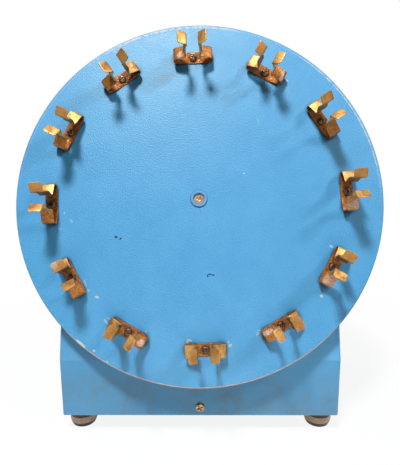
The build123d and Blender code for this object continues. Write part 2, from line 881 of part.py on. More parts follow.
with BuildPart() as drive_shaft:
    with BuildSketch(face_plane.offset(hub_ring_height - shaft_recess)):
        Circle(shaft_diameter / 2)
    extrude(amount=-(hub_ring_height - shaft_recess) - boss_back)
    with BuildSketch(behind(boss_back)):
        Circle(shaft_tail_diameter / 2)
    extrude(amount=-(rear_plate_back - boss_back))
    with BuildSketch(face_plane.offset(hub_ring_height - shaft_recess)):
        Circle(shaft_dimple_diameter / 2)
    extrude(amount=-shaft_dimple_depth, taper=shaft_dimple_taper, mode=Mode.SUBTRACT)
    with BuildSketch(cross_pin_plane):
        Circle(cross_pin_diameter / 2)
    extrude(amount=output_boss_diameter, mode=Mode.SUBTRACT)
save(drive_shaft, "drive_shaft")

idler_mesh = degrees(radians(idler_angle) + pi) + 180 / idler_pinion_teeth
motor_mesh = degrees(radians(motor_angle) + pi) + 180 / motor_pinion_teeth
with BuildPart() as idler_pinion:
    pinion_plane = on_axis(output_plane, idler_x, idler_y)
    add(gear_part(pinion_plane, idler_pinion_teeth, output_module, output_face, idler_mesh))
    with BuildSketch(on_axis(behind(output_back), idler_x, idler_y)):
        Circle(idler_sleeve_diameter / 2)
    extrude(amount=-(rear_plate_front - output_back - gear_front_gap))
    with BuildSketch(pinion_plane):
        Circle(idler_pin_diameter / 2 + running_gap)
    extrude(amount=-plate_spacing, mode=Mode.SUBTRACT)
save(idler_pinion, "idler_pinion")

with BuildPart() as idler_wheel:
    wheel_plane = on_axis(behind(wheel_front), idler_x, idler_y)
    add(gear_part(wheel_plane, idler_wheel_teeth, motor_module, idler_face, motor_angle))
    wheel_web_radius = motor_module * idler_wheel_teeth / 2 - wheel_rim
    wheel_hub_radius = idler_sleeve_diameter / 2 + bush_wall
    with BuildSketch(wheel_plane):
        Circle(wheel_web_radius)
        Circle(wheel_hub_radius, mode=Mode.SUBTRACT)
    extrude(amount=-(idler_face - wheel_web_thickness) / 2, mode=Mode.SUBTRACT)
    with BuildSketch(on_axis(behind(wheel_back), idler_x, idler_y)):
        Circle(wheel_web_radius)
        Circle(wheel_hub_radius, mode=Mode.SUBTRACT)
    extrude(amount=(idler_face - wheel_web_thickness) / 2, mode=Mode.SUBTRACT)
    with BuildSketch(wheel_plane):
        Circle(idler_sleeve_diameter / 2)
        with PolarLocations((wheel_web_radius + wheel_hub_radius) / 2, wheel_hole_count):
            Circle(wheel_hole_diameter / 2)
    extrude(amount=-idler_face, mode=Mode.SUBTRACT)
save(idler_wheel, "idler_wheel")

with BuildPart() as idler_pin:
    with BuildSketch(on_axis(behind(plate_front), idler_x, idler_y)):
        Circle(idler_pin_diameter / 2)
    extrude(amount=-(rear_plate_back - plate_front))
save(idler_pin, "idler_pin")

# ---------------------------------------------------------------- synchronous motor
motor_front = rear_plate_back
can_front = motor_front + motor_flange_thickness
can_back = can_front + motor_length
ring_radius = rotor_diameter / 2 + rotor_gap
bobbin_inner = ring_radius + pole_thickness + bobbin_gap
bobbin_outer = motor_diameter / 2 - motor_wall - bobbin_gap
shaft_clear = motor_shaft_diameter / 2 + running_gap
shaft_front = wheel_front - gear_front_gap / 2


def motor_plane(depth):
    """A plane on the motor's axis at this depth behind the disc's front face."""
    return on_axis(behind(depth), motor_x, motor_y)


def pole_ring(first_angle):
    """Sketch places for one set of pole fingers round the rotor."""
    return PolarLocations(
        ring_radius + pole_thickness / 2, pole_count, start_angle=first_angle
    )


with BuildPart() as motor_flange:
    with BuildSketch(motor_plane(motor_front)):
        Circle(motor_diameter / 2)
        with GridLocations(motor_ear_spacing, 0, 2, 1):
            Circle(motor_ear_diameter / 2)
        Rectangle(motor_ear_spacing, motor_ear_diameter)
        with GridLocations(motor_ear_spacing, 0, 2, 1):
            Circle(motor_screw_diameter / 2, mode=Mode.SUBTRACT)
    extrude(amount=-motor_flange_thickness)
    with BuildSketch(motor_plane(motor_front)):
        Circle(motor_boss_diameter / 2)
    extrude(amount=motor_boss_length)
    with BuildSketch(motor_plane(can_front)):
        with pole_ring(0):
            Rectangle(pole_thickness, pole_width)
    extrude(amount=-pole_length)
    with BuildSketch(motor_plane(motor_front - motor_boss_length)):
        Circle(shaft_clear)
    extrude(amount=-motor_boss_length - motor_flange_thickness, mode=Mode.SUBTRACT)
save(motor_flange, "motor_flange")

with BuildPart() as motor_can:
    with BuildSketch(motor_plane(can_front)):
        Circle(motor_diameter / 2)
    extrude(amount=-motor_length)
    with BuildSketch(motor_plane(can_front)):
        Circle(motor_diameter / 2 - motor_wall)
    extrude(amount=-(motor_length - motor_wall), mode=Mode.SUBTRACT)
    with BuildSketch(motor_plane(can_back)):
        Circle(motor_boss_diameter / 2)
    extrude(amount=-motor_boss_length)
    with BuildSketch(motor_plane(can_back - motor_wall)):
        with pole_ring(180 / pole_count):
            Rectangle(pole_thickness, pole_width)
    extrude(amount=pole_length)
    with BuildSketch(motor_plane(can_back - motor_wall)):
        Circle(shaft_clear)
    extrude(amount=-motor_wall - motor_boss_length / 2, mode=Mode.SUBTRACT)
save(motor_can, "motor_can")

bobbin_front = can_front + bobbin_gap
bobbin_back = can_back - motor_wall - bobbin_gap
with BuildPart() as coil_bobbin:
    with BuildSketch(motor_plane(bobbin_front)):
        Circle(bobbin_outer)
        Circle(bobbin_inner, mode=Mode.SUBTRACT)
    extrude(amount=-(bobbin_back - bobbin_front))
    with BuildSketch(motor_plane(bobbin_front + bobbin_wall)):
        Circle(bobbin_outer)
        Circle(bobbin_inner + bobbin_wall, mode=Mode.SUBTRACT)
    extrude(amount=-(bobbin_back - bobbin_front - 2 * bobbin_wall), mode=Mode.SUBTRACT)
save(coil_bobbin, "coil_bobbin")

with BuildPart() as coil_winding:
    with BuildSketch(motor_plane(bobbin_front + bobbin_wall + winding_gap)):
        Circle(bobbin_outer - bobbin_wall)
        Circle(bobbin_inner + bobbin_wall + winding_gap, mode=Mode.SUBTRACT)
    extrude(amount=-(bobbin_back - bobbin_front - 2 * (bobbin_wall + winding_gap)))
save(coil_winding, "coil_winding")

rotor_front = can_front + (motor_length - motor_wall - rotor_length) / 2
with BuildPart() as rotor_magnet:
    with BuildSketch(motor_plane(rotor_front)):
        Circle(rotor_diameter / 2)
        Circle(motor_shaft_diameter / 2, mode=Mode.SUBTRACT)
    extrude(amount=-rotor_length)
save(rotor_magnet, "rotor_magnet")

with BuildPart() as motor_shaft:
    with BuildSketch(motor_plane(shaft_front)):
        Circle(motor_shaft_diameter / 2)
    extrude(amount=-(can_back + motor_boss_length / 2 - slip_gap - shaft_front))
save(motor_shaft, "motor_shaft")

with BuildPart() as motor_pinion:
    add(
        gear_part(
            motor_plane(shaft_front),
            motor_pinion_teeth,
            motor_module,
            idler_face + gear_front_gap,
            motor_mesh,
        )
    )
    with BuildSketch(motor_plane(shaft_front)):
        Circle(motor_shaft_diameter / 2)
    extrude(amount=-idler_face - gear_front_gap, mode=Mode.SUBTRACT)
save(motor_pinion, "motor_pinion")

motor_screw_blank = pan_screw(
    motor_screw_head_diameter,
    motor_screw_head_height,
    motor_screw_diameter - 2 * running_gap,
    motor_flange_thickness + rear_plate_thickness,
)
with BuildPart() as motor_screws:
    with Locations(facing_back(motor_plane(can_front))):
        with GridLocations(motor_ear_spacing, 0, 2, 1):
            add(motor_screw_blank)
save(motor_screws, "motor_screws")

# ---------------------------------------------------------------- capacitor and terminal block
capacitor_z = base_top + capacitor_diameter / 2 + slip_gap
capacitor_plane = Plane(
    origin=(capacitor_x - capacitor_length / 2, capacitor_y, capacitor_z),
    x_dir=(0, 1, 0),
    z_dir=(1, 0, 0),
)
with BuildPart() as capacitor:
    with BuildSketch(capacitor_plane):
        Circle(capacitor_diameter / 2)
    extrude(amount=capacitor_length)
    fillet(capacitor.edges().filter_by(GeomType.CIRCLE), capacitor_edge_radius)
    with BuildSketch(capacitor_plane.offset(capacitor_length)):
        with GridLocations(capacitor_diameter / 2, 0, 2, 1):
            Rectangle(capacitor_lug_thickness, capacitor_lug)
    extrude(amount=capacitor_lug_length)
save(capacitor, "capacitor")

strap_inner = capacitor_diameter / 2 + slip_gap
strap_outer = strap_inner + clamp_strip
clamp_plane = Plane(
    origin=(capacitor_x - clamp_width / 2, capacitor_y, capacitor_z),
    x_dir=(0, 1, 0),
    z_dir=(1, 0, 0),
)
with BuildPart() as capacitor_clamp:
    with BuildSketch(clamp_plane):
        Circle(strap_outer)
        with Locations((0, -strap_outer)):
            Rectangle(2 * strap_outer, 2 * strap_outer, mode=Mode.SUBTRACT)
        with Locations((0, (base_top - capacitor_z) / 2)):
            Rectangle(2 * strap_outer, capacitor_z - base_top)
        with Locations((0, base_top + clamp_strip / 2 - capacitor_z)):
            Rectangle(2 * (strap_outer + clamp_ear), clamp_strip)
        Circle(strap_inner, mode=Mode.SUBTRACT)
        with Locations((0, -strap_outer)):
            Rectangle(2 * strap_inner, 2 * strap_outer, mode=Mode.SUBTRACT)
    extrude(amount=clamp_width)
    with BuildSketch(Plane.XY.offset(base_top)):
        with Locations(*base_screw_points[:2]):
            Circle(base_screw_diameter / 2)
    extrude(amount=clamp_strip, mode=Mode.SUBTRACT)
save(capacitor_clamp, "capacitor_clamp")

terminal_core = terminal_length - 2 * terminal_ear
way_pitch = terminal_core / terminal_ways
with BuildPart() as terminal_block:
    with BuildSketch(Plane.XY.offset(base_top)):
        with Locations((terminal_x, terminal_y)):
            Rectangle(terminal_length, terminal_ear_depth)
    extrude(amount=clamp_strip)
    with BuildSketch(Plane.XY.offset(base_top)):
        with Locations((terminal_x, terminal_y)):
            Rectangle(terminal_core, terminal_depth)
    extrude(amount=terminal_height)
    with BuildSketch(Plane.XY.offset(base_top + terminal_height)):
        with Locations((terminal_x, terminal_y)):
            with GridLocations(way_pitch, terminal_depth / 2, terminal_ways, 2):
                Circle(terminal_way_diameter / 2)
    extrude(amount=-terminal_way_depth, mode=Mode.SUBTRACT)
    with BuildSketch(Plane.XY.offset(base_top)):
        with Locations(*base_screw_points[2:]):
            Circle(base_screw_diameter / 2)
    extrude(amount=clamp_strip, mode=Mode.SUBTRACT)
save(terminal_block, "terminal_block")

base_screw_blank = pan_screw(
    base_screw_head_diameter,
    base_screw_head_height,
    base_screw_diameter - 2 * running_gap,
    base_screw_length,
)
with BuildPart() as base_screws:
    with Locations(Plane.XY.offset(base_top + clamp_strip)):
        with Locations(*base_screw_points):
            add(base_screw_blank)
save(base_screws, "base_screws")

# ---------------------------------------------------------------- power inlet and switch
inlet_floor = inlet_plane.offset(inlet_flange_thickness - inlet_recess_depth)


def inlet_pin_places():
    """Places of the three pins, the middle one raised."""
    return Locations(
        (-inlet_pin_pitch, -inlet_pin_rise),
        (0, inlet_pin_rise),
        (inlet_pin_pitch, -inlet_pin_rise),
    )


with BuildPart() as power_inlet:
    with BuildSketch(inlet_plane):
        RectangleRounded(inlet_flange_width, inlet_flange_height, inlet_recess_chamfer)
    extrude(amount=inlet_flange_thickness)
    with BuildSketch(inlet_plane):
        Rectangle(inlet_body_width, inlet_body_height)
    extrude(amount=-inlet_body_depth)
    with BuildSketch(inlet_plane.offset(inlet_flange_thickness)) as recess:
        Rectangle(inlet_recess_width, inlet_recess_height)
        chamfer(recess.vertices().group_by(Axis.Y)[-1], inlet_recess_chamfer)
    extrude(amount=-inlet_recess_depth, mode=Mode.SUBTRACT)
    with BuildSketch(inlet_plane.offset(inlet_flange_thickness)):
        with GridLocations(inlet_screw_spacing, 0, 2, 1):
            Circle(base_screw_diameter / 2)
    extrude(amount=-inlet_flange_thickness, mode=Mode.SUBTRACT)
    with BuildSketch(inlet_floor):
        with inlet_pin_places():
            Rectangle(inlet_pin_width, inlet_pin_height)
    extrude(amount=-inlet_body_depth, mode=Mode.SUBTRACT)
save(power_inlet, "power_inlet")

with BuildPart() as inlet_pins:
    with BuildSketch(inlet_floor.offset(inlet_pin_length)):
        with inlet_pin_places():
            Rectangle(inlet_pin_width, inlet_pin_height)
    wall_and_tail = inlet_body_depth + inlet_flange_thickness - inlet_recess_depth + inlet_pin_tail
    extrude(amount=-inlet_pin_length - wall_and_tail)
save(inlet_pins, "inlet_pins")

with BuildPart() as inlet_screws:
    with Locations(inlet_plane.offset(inlet_flange_thickness)):
        with GridLocations(inlet_screw_spacing, 0, 2, 1):
            add(base_screw_blank)
save(inlet_screws, "inlet_screws")

pivot_plane = switch_plane.offset(bezel_thickness - pivot_depth)
pivot_hole = pivot_pin_diameter / 2 + running_gap
pocket_width = rocker_width + 2 * rocker_gap
pocket_height = 2 * (rocker_half_height + rocker_gap)
with BuildPart() as switch_body:
    with BuildSketch(switch_plane):
        RectangleRounded(bezel_width, bezel_height, bezel_thickness / 2)
    extrude(amount=bezel_thickness)
    with BuildSketch(switch_plane):
        Rectangle(switch_body_width, switch_body_height)
    extrude(amount=-switch_body_depth)
    with BuildSketch(switch_plane.offset(bezel_thickness)):
        Rectangle(pocket_width, pocket_height)
    extrude(amount=-(rocker_depth + bezel_thickness + rocker_floor_gap), mode=Mode.SUBTRACT)
    with BuildSketch(Plane(origin=pivot_plane.origin, x_dir=(0, 1, 0), z_dir=(1, 0, 0))):
        Circle(pivot_hole)
    extrude(amount=pocket_width / 2 + pivot_pin_length, both=True, mode=Mode.SUBTRACT)
save(switch_body, "switch_body")

# The rocker is drawn level and then tipped to its off position, half its swing one way.
rocker_tip = radians(rocker_swing / 2)
rocker_plane = Plane(
    origin=pivot_plane.origin, x_dir=(0, sin(rocker_tip), cos(rocker_tip)), z_dir=(1, 0, 0)
)
with BuildPart() as switch_rocker:
    with BuildSketch(rocker_plane):
        with BuildLine():
            Polyline(
                (rocker_lip - rocker_half_height, -pivot_depth),
                (-rocker_half_height, -rocker_end_rise),
                (0, -rocker_rise),
                (rocker_half_height, -rocker_end_rise),
                (rocker_half_height - rocker_lip, -pivot_depth),
            )
            ThreePointArc(
                (rocker_half_height - rocker_lip, -pivot_depth),
                (0, rocker_depth - pivot_depth),
                (rocker_lip - rocker_half_height, -pivot_depth),
            )
        make_face()
    extrude(amount=rocker_width / 2, both=True)
    with BuildSketch(rocker_plane):
        Circle(pivot_pin_diameter / 2)
    extrude(amount=rocker_width / 2 + rocker_gap + pivot_pin_length - pivot_pin_end_gap, both=True)
save(switch_rocker, "switch_rocker")
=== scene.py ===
"""Looks of the bench tube rotator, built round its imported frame.

Laid out as an add-on: property groups hold the sizes and colours, one operator makes each group
of pieces, and a panel lists them. Lengths are metres, in the frame's own axes: +Z up, the disc
faces -Y.
"""
import json
import math

import bpy
import numpy as np
from mathutils import Matrix, Vector


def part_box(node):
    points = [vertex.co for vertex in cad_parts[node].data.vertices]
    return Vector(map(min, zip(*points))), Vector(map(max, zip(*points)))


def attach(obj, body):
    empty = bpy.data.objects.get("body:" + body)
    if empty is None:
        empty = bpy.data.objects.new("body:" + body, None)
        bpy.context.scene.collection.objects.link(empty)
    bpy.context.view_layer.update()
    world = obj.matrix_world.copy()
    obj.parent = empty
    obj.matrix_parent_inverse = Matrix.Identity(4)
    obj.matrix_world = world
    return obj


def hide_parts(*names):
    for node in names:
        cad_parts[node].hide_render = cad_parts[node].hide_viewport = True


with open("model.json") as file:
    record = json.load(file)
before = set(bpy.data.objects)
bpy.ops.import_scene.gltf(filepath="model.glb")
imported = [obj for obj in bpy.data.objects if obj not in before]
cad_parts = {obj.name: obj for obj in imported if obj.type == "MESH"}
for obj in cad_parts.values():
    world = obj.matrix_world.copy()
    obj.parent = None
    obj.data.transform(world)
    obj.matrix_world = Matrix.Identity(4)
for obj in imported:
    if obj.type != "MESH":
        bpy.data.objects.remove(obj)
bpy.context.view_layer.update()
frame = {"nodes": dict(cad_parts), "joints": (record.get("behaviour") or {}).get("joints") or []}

bl_info = {
    "name": "Tube Rotator",
    "version": (1, 0, 0),
    "blender": (4, 5, 0),
    "location": "View3D > Sidebar > Rotator",
    "description": "Finishes, clips, screws and stage for a bench tube rotator",
    "category": "Object",
}

MM = 0.001

# ------------------------------------------------------------------ sizes worked out from the frame
JOINTS = {joint["name"]: joint for joint in frame["joints"]}
DISC_CENTRE = np.array(JOINTS["disc_spin"]["pos_m"])
DISC_NORMAL = np.array(JOINTS["disc_spin"]["axis"])
DISC_RIGHT = np.array((1.0, 0.0, 0.0))
DISC_UP = np.cross(DISC_NORMAL, DISC_RIGHT)
DISC_TILT = math.atan2(DISC_NORMAL[2], -DISC_NORMAL[1])
DISC_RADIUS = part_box("disc")[1].x
CLIP_HOURS = range(1, 13)
CLIP_CIRCLE = 122.0 * MM
CLIP_LEAD = math.radians(2.25)
BODY_DISC = "disc_assembly"
BODY_BASE = "base"


def linear(*screen):
    """Linear colour of an 8-bit screen colour: each channel undone by the screen's power curve."""
    share = np.array(screen) / 255
    curve = np.where(share <= 0.04045, share / 12.92, ((share + 0.055) / 1.055) ** 2.4)
    return tuple(curve.tolist())


def disc_point(right, up, out):
    """World place of a point given in the disc's own coordinates, in metres."""
    return DISC_CENTRE + right * DISC_RIGHT + up * DISC_UP + out * DISC_NORMAL


def clip_axes(hour):
    """Place and axes of one clip: its screw's foot on the disc, radial, tangential, outward."""
    angle = math.radians(30 * hour) - CLIP_LEAD
    radial = math.cos(angle) * DISC_UP + math.sin(angle) * DISC_RIGHT
    tangential = -math.sin(angle) * DISC_UP + math.cos(angle) * DISC_RIGHT
    return DISC_CENTRE + CLIP_CIRCLE * radial, radial, tangential, DISC_NORMAL


# ------------------------------------------------------------------ property groups
def number_property(name, description, default, **settings):
    """A number, with the unit or subtype that fits it."""
    return bpy.props.FloatProperty(name=name, description=description, default=default, **settings)


def length_property(name, description, default_mm):
    """A length shown with a unit, from a size in millimetres."""
    return number_property(name, description, default_mm * MM, unit="LENGTH", precision=5)


def angle_property(name, description, default_degrees):
    """An angle, from a size in degrees."""
    return number_property(name, description, math.radians(default_degrees), subtype="ANGLE")


def colour_property(name, description, rgb):
    """A colour shown with a picker, from an 8-bit screen colour."""
    return bpy.props.FloatVectorProperty(
        name=name, description=description, default=linear(*rgb), subtype="COLOR", min=0, max=1
    )


class RotatorPaint(bpy.types.PropertyGroup):
    """Colours of the enamel, what has worn through or settled on it, and its painted highlight and
    shade.
    """

    disc: colour_property("Disc enamel", "Blue of the disc", (85, 165, 216))
    disc_low: colour_property("Disc shade", "Slightly deeper blue in the mottling", (73, 153, 206))
    housing: colour_property("Housing enamel", "Blue of the housing", (94, 171, 219))
    grime: colour_property("Grime", "Dirt low on the housing", (122, 126, 118))
    bare_metal: colour_property("Bare metal", "Metal where the enamel has gone", (190, 180, 178))
    chip: colour_property("Chips", "Pale primer and residue", (226, 222, 216))
    # The chip colour also paints the highlight just inside the disc's rim.
    scuff: colour_property("Scuffs", "Dark rub marks", (24, 30, 40))
    # The gap colour is painted shade: near-black blue where the clips close off the disc and along
    # the underside of its rim.
    gap: colour_property("Gaps", "Soot gathered where the clips meet the disc", (18, 44, 62))
    peel: length_property("Orange peel", "Width of one ripple in the enamel", 1.2)


class RotatorClips(bpy.types.PropertyGroup):
    """Profile and finish of the spring clips."""

    width: length_property("Strip width", "Width of the spring strip", 10.2)
    strip: length_property("Strip thickness", "Thickness of the spring strip", 0.8)
    edge: length_property("Edge rounding", "Radius on the strip's long edges", 0.22)
    gold: colour_property("Gold", "Clean plated strip", (242, 190, 112))
    # The bronze also paints shade on the upper jaws.
    bronze: colour_property("Bronze", "Dull strip", (182, 130, 70))
    brown: colour_property("Brown", "Tarnished strip", (84, 50, 24))
    # The dull brown is painted shade on the lower shoulders, which face away from the lamp
    # overhead.
    dull: colour_property("Dull brown", "Shoulders that tubes don't rub", (184, 118, 48))
    rust: colour_property("Rust", "Orange rust", (188, 98, 14))
    worn: colour_property("Worn", "Shoulders rubbed pale by tubes", (238, 204, 184))


class RotatorScrews(bpy.types.PropertyGroup):
    """Finish of the screws."""

    tarnished: colour_property("Tarnished", "Screws of the clips", (132, 104, 82))
    brass: colour_property("Brass", "Screws of the housing", (208, 170, 128))
    plated: colour_property("Plated", "Zinc-plated screws", (176, 178, 176))


class RotatorFittings(bpy.types.PropertyGroup):
    """Colours of feet and small fittings."""

    foot: colour_property("Foot", "Taupe plastic of the feet", (228, 190, 158))
    # The rubber's near-black also paints the shadow at the top of each foot.
    rubber: colour_property("Rubber", "Foot pads", (26, 24, 24))
    black: colour_property("Black plastic", "Inlet and switch", (24, 24, 26))


class RotatorStage(bpy.types.PropertyGroup):
    """Camera and lamps."""

    eye: bpy.props.FloatVectorProperty(
        name="Eye", description="Where the camera stands", unit="LENGTH",
        default=(4.35 * MM, DISC_CENTRE[1] - 328.3 * MM, DISC_CENTRE[2] + 26.04 * MM),
    )
    down: angle_property("Looks down", "Angle below level", 9.4)
    aside: angle_property("Looks aside", "Angle to the left", 0.64)
    lean: angle_property("Lean", "Camera's own roll", 0.34)
    focal: number_property(
        "Focal length", "Lens, on a 36 mm frame height", 30.69, subtype="DISTANCE_CAMERA",
        unit="CAMERA",
    )
    key_power: number_property("Key lamp", "Power of the lamp overhead", 12.3, unit="POWER")
    side_power: number_property("Side lamp", "Power of the lamp at the right", 4.9, unit="POWER")
    back_power: number_property("Back lamp", "Power of the lamp behind", 6.0, unit="POWER")
    low_power: number_property("Low lamp", "Power of the lamp near the bench", 0.095, unit="POWER")
    world_light: number_property("Room light", "Strength of the room's even light", 0.08)


# ------------------------------------------------------------------ mesh helpers
def grid_quads(rows, columns, wrap=False):
    """Corner numbers of the quads of a grid of points; wrap joins the last column to the first."""
    row, column = np.meshgrid(
        np.arange(rows - 1), np.arange(columns if wrap else columns - 1), indexing="ij"
    )
    following = (column + 1) % columns
    return np.stack(
        (
            row * columns + column, row * columns + following,
            (row + 1) * columns + following, (row + 1) * columns + column,
        ),
        axis=-1,
    ).reshape(-1, 4)


def end_rows(rows, columns):
    """Corner numbers round the first and round the last row of a grid of points."""
    return list(range(columns)), list(range((rows - 1) * columns, rows * columns))


def link_object(name, data):
    """A new object with this data, linked to the scene."""
    thing = bpy.data.objects.new(name, data)
    bpy.context.scene.collection.objects.link(thing)
    return thing


def make_piece(name, surface, material, body, node, smooth=40.0):
    """Put a surface into a mesh object that rides on a body and stands for a CAD node."""
    points, quads, caps = surface
    mesh = bpy.data.meshes.new(name)
    faces = [tuple(quad) for quad in np.asarray(quads).tolist()] + [tuple(cap) for cap in caps]
    mesh.from_pydata(np.asarray(points, float).reshape(-1, 3).tolist(), [], faces)
    mesh.polygons.foreach_set("use_smooth", np.ones(len(mesh.polygons), bool))
    mesh.set_sharp_from_angle(angle=math.radians(smooth))
    mesh.materials.append(material)
    mesh.update()
    piece = link_object(name, mesh)
    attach(piece, body)
    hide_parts(node)


def join_surfaces(surfaces):
    """One surface's points, quads and caps from several surfaces'."""
    points, quads, caps, start = [], [], [], 0
    for surface_points, surface_quads, surface_caps in surfaces:
        points.append(np.asarray(surface_points).reshape(-1, 3))
        quads.append(np.asarray(surface_quads) + start)
        caps += [[corner + start for corner in cap] for cap in surface_caps]
        start += len(points[-1])
    return np.concatenate(points), np.concatenate(quads), caps


def rounded_path(corners, radii, step):
    """Points along a polyline whose inner corners are rounded.

    Each corner is replaced by an arc of its radius that is tangent to both runs: it starts
    radius * tan(half the turn) before the corner, and its centre lies on the corner's bisector.
    """
    corners = np.asarray(corners, float)
    path = [corners[0]]
    for before, corner, after, radius in zip(corners, corners[1:], corners[2:], radii):
        into = (corner - before) / np.linalg.norm(corner - before)
        out = (after - corner) / np.linalg.norm(after - corner)
        turn = math.atan2(into[0] * out[1] - into[1] * out[0], float(into @ out))
        reach = radius * math.tan(abs(turn) / 2)
        side = math.copysign(1.0, turn) * np.array((-into[1], into[0]))
        start = corner - reach * into
        centre = start + radius * side
        count = max(3, int(abs(turn) * radius / step) + 2)
        swept = np.linspace(0, abs(turn), count)[:, None]
        path.extend(centre + radius * (np.sin(swept) * into - np.cos(swept) * side))
    path.append(corners[-1])
    return resample(np.array(path), step)


def lengths_along(path):
    """Each point's distance from the start, along the line."""
    return np.concatenate(([0], np.cumsum(np.linalg.norm(np.diff(path, axis=0), axis=1))))


def points_at(path, stations):
    """The line's points at distances from its start."""
    along = lengths_along(path)
    return np.stack([np.interp(stations, along, path[:, axis]) for axis in (0, 1)], axis=1)


def resample(path, step):
    """The same line with extra points on its long runs, about one step apart."""
    runs = np.linalg.norm(np.diff(path, axis=0), axis=1)
    path = path[np.concatenate(([True], runs > step * 0.02))]
    along = lengths_along(path)
    stations = np.unique(np.concatenate((along, np.arange(0, along[-1], step))))
    spaced = np.concatenate(([True], np.diff(stations) > step * 0.2))
    spaced[-1] = True
    return points_at(path, stations[spaced])


def rounded_section(width, thickness, radius):
    """Outline of a rounded rectangle, counter-clockwise, as (across, up) pairs.

    At each corner a quarter circle turns about a centre that lies a radius inside both sides.
    """
    centres = np.array(((1, -1), (1, 1), (-1, 1), (-1, -1)))
    centres = centres * (width / 2 - radius, thickness / 2 - radius)
    angles = np.radians(np.array((-90, 0, 90, 180))[:, None] + np.linspace(0, 90, 4))
    arcs = radius * np.stack((np.cos(angles), np.sin(angles)), axis=-1)
    return (centres[:, None, :] + arcs).reshape(-1, 2)


# ------------------------------------------------------------------ node helpers
class Field:
    """A value, colour or vector that changes over a surface; sums of it become Math nodes."""

    def __init__(self, socket):
        self.socket = socket
        self.tree = socket.id_data

    def __add__(self, other):
        return reckon("ADD", self, other)

    def __sub__(self, other):
        return reckon("SUBTRACT", self, other)

    def __rsub__(self, other):
        return reckon("SUBTRACT", other, self)

    def __mul__(self, other):
        return reckon("MULTIPLY", self, other)

    def greatest(self, other):
        """The greater of this value and another."""
        return reckon("MAXIMUM", self, other)

    def part(self, axis):
        """One axis of this vector."""
        return field(self.tree, "SeparateXYZ", axis, {"Vector": self})

    def step(self, low, high, to_low=0.0, to_high=1.0):
        """A smooth step of this value from low to high; it falls where high is the lesser."""
        return field(
            self.tree, "MapRange", "Result",
            {"Value": self, "From Min": low, "From Max": high, "To Min": to_low, "To Max": to_high},
            interpolation_type="SMOOTHSTEP",
        )


def put(node, key, value):
    """Link an input of a node to a field, or give it a constant."""
    socket = node.inputs[key]
    if isinstance(value, Field):
        node.id_data.links.new(value.socket, socket)
    else:
        socket.default_value = value


def add_node(tree, kind, inputs=None, **settings):
    """Add a shader node with its settings, then its inputs by name or number."""
    node = tree.nodes.new(f"ShaderNode{kind}")
    for name, value in settings.items():
        setattr(node, name, value)
    for key, value in (inputs or {}).items():
        put(node, key, value)
    return node


def field(tree, kind, output, inputs=None, **settings):
    """One output of a new node."""
    return Field(add_node(tree, kind, inputs, **settings).outputs[output])


def reckon(operation, *values, clamp=False):
    """One Math node over fields and numbers."""
    tree = next(value.tree for value in values if isinstance(value, Field))
    inputs = dict(enumerate(values))
    return field(tree, "Math", 0, inputs, operation=operation, use_clamp=clamp)


def reckon_vector(operation, *values, output="Vector"):
    """One Vector Math node, whose first value is a field."""
    inputs = dict(enumerate(values))
    return field(values[0].tree, "VectorMath", output, inputs, operation=operation)


def object_place(tree):
    """Object coordinates."""
    return field(tree, "TexCoord", "Object")


def blend_colour(share, first, second):
    """A colour between two colours by a share."""
    first, second = (
        (*colour, 1.0) if not isinstance(colour, Field) and len(colour) == 3 else colour
        for colour in (first, second)
    )
    return field(share.tree, "Mix", 2, {0: share, 6: first, 7: second}, data_type="RGBA")


def tone(colour, share, lift=0.0):
    """A colour times a share, lifted by an amount towards white."""
    return tuple(min(1.0, share * channel + lift) for channel in colour)


def noise(vector, scale, detail=3.0, roughness=0.55, distortion=0.0):
    """Height of a noise texture."""
    return field(
        vector.tree, "TexNoise", "Fac",
        {
            "Vector": vector, "Scale": scale, "Detail": detail, "Roughness": roughness,
            "Distortion": distortion,
        },
    )


def begin_group(name, output, kind, **inputs):
    """A shader node group with one output, and inputs whose names are listed by their kinds.

    Returns its inputs as fields, and its output node.
    """
    tree = bpy.data.node_groups.new(name, "ShaderNodeTree")
    tree.interface.new_socket(name=output, in_out="OUTPUT", socket_type=f"NodeSocket{kind}")
    for kind, names in inputs.items():
        for each in names:
            tree.interface.new_socket(name=each, in_out="INPUT", socket_type=f"NodeSocket{kind}")
    given = tree.nodes.new("NodeGroupInput").outputs
    fields = {socket.name: Field(socket) for socket in given if socket.name}
    return fields, tree.nodes.new("NodeGroupOutput")


def use_group(tree, name, builder, inputs):
    """The output of a shared group with this use's own values; its first use builds the group."""
    group = bpy.data.node_groups.get(name) or builder(name)
    return field(tree, "Group", 0, inputs, node_tree=group)


def edge_wear_group(name):
    """Edge wear: how far the rounded normal leaves the true one, broken up by noise."""
    given, result = begin_group(
        name, "Mask", "Float", Vector=["Vector"], Float=["Radius", "Breakup", "Amount"]
    )
    tree = result.id_data
    rounded = field(tree, "Bevel", "Normal", {"Radius": given["Radius"]}, samples=6)
    plain = field(tree, "NewGeometry", "True Normal")
    bend = 1.0 - reckon_vector("DOT_PRODUCT", rounded, plain, output="Value")
    rough = noise(given["Vector"], given["Breakup"], 4.0, 0.6) * 14.0
    cut = bend * rough - (1.0 - given["Amount"])
    put(result, "Mask", reckon("MULTIPLY", cut, 2.0, clamp=True))
    return tree


def worn_edges(place, radius, breakup, amount):
    """Edge wear from the shared group."""
    return use_group(place.tree, "Edge wear", edge_wear_group, {
        "Vector": place, "Radius": radius, "Breakup": breakup, "Amount": amount,
    })


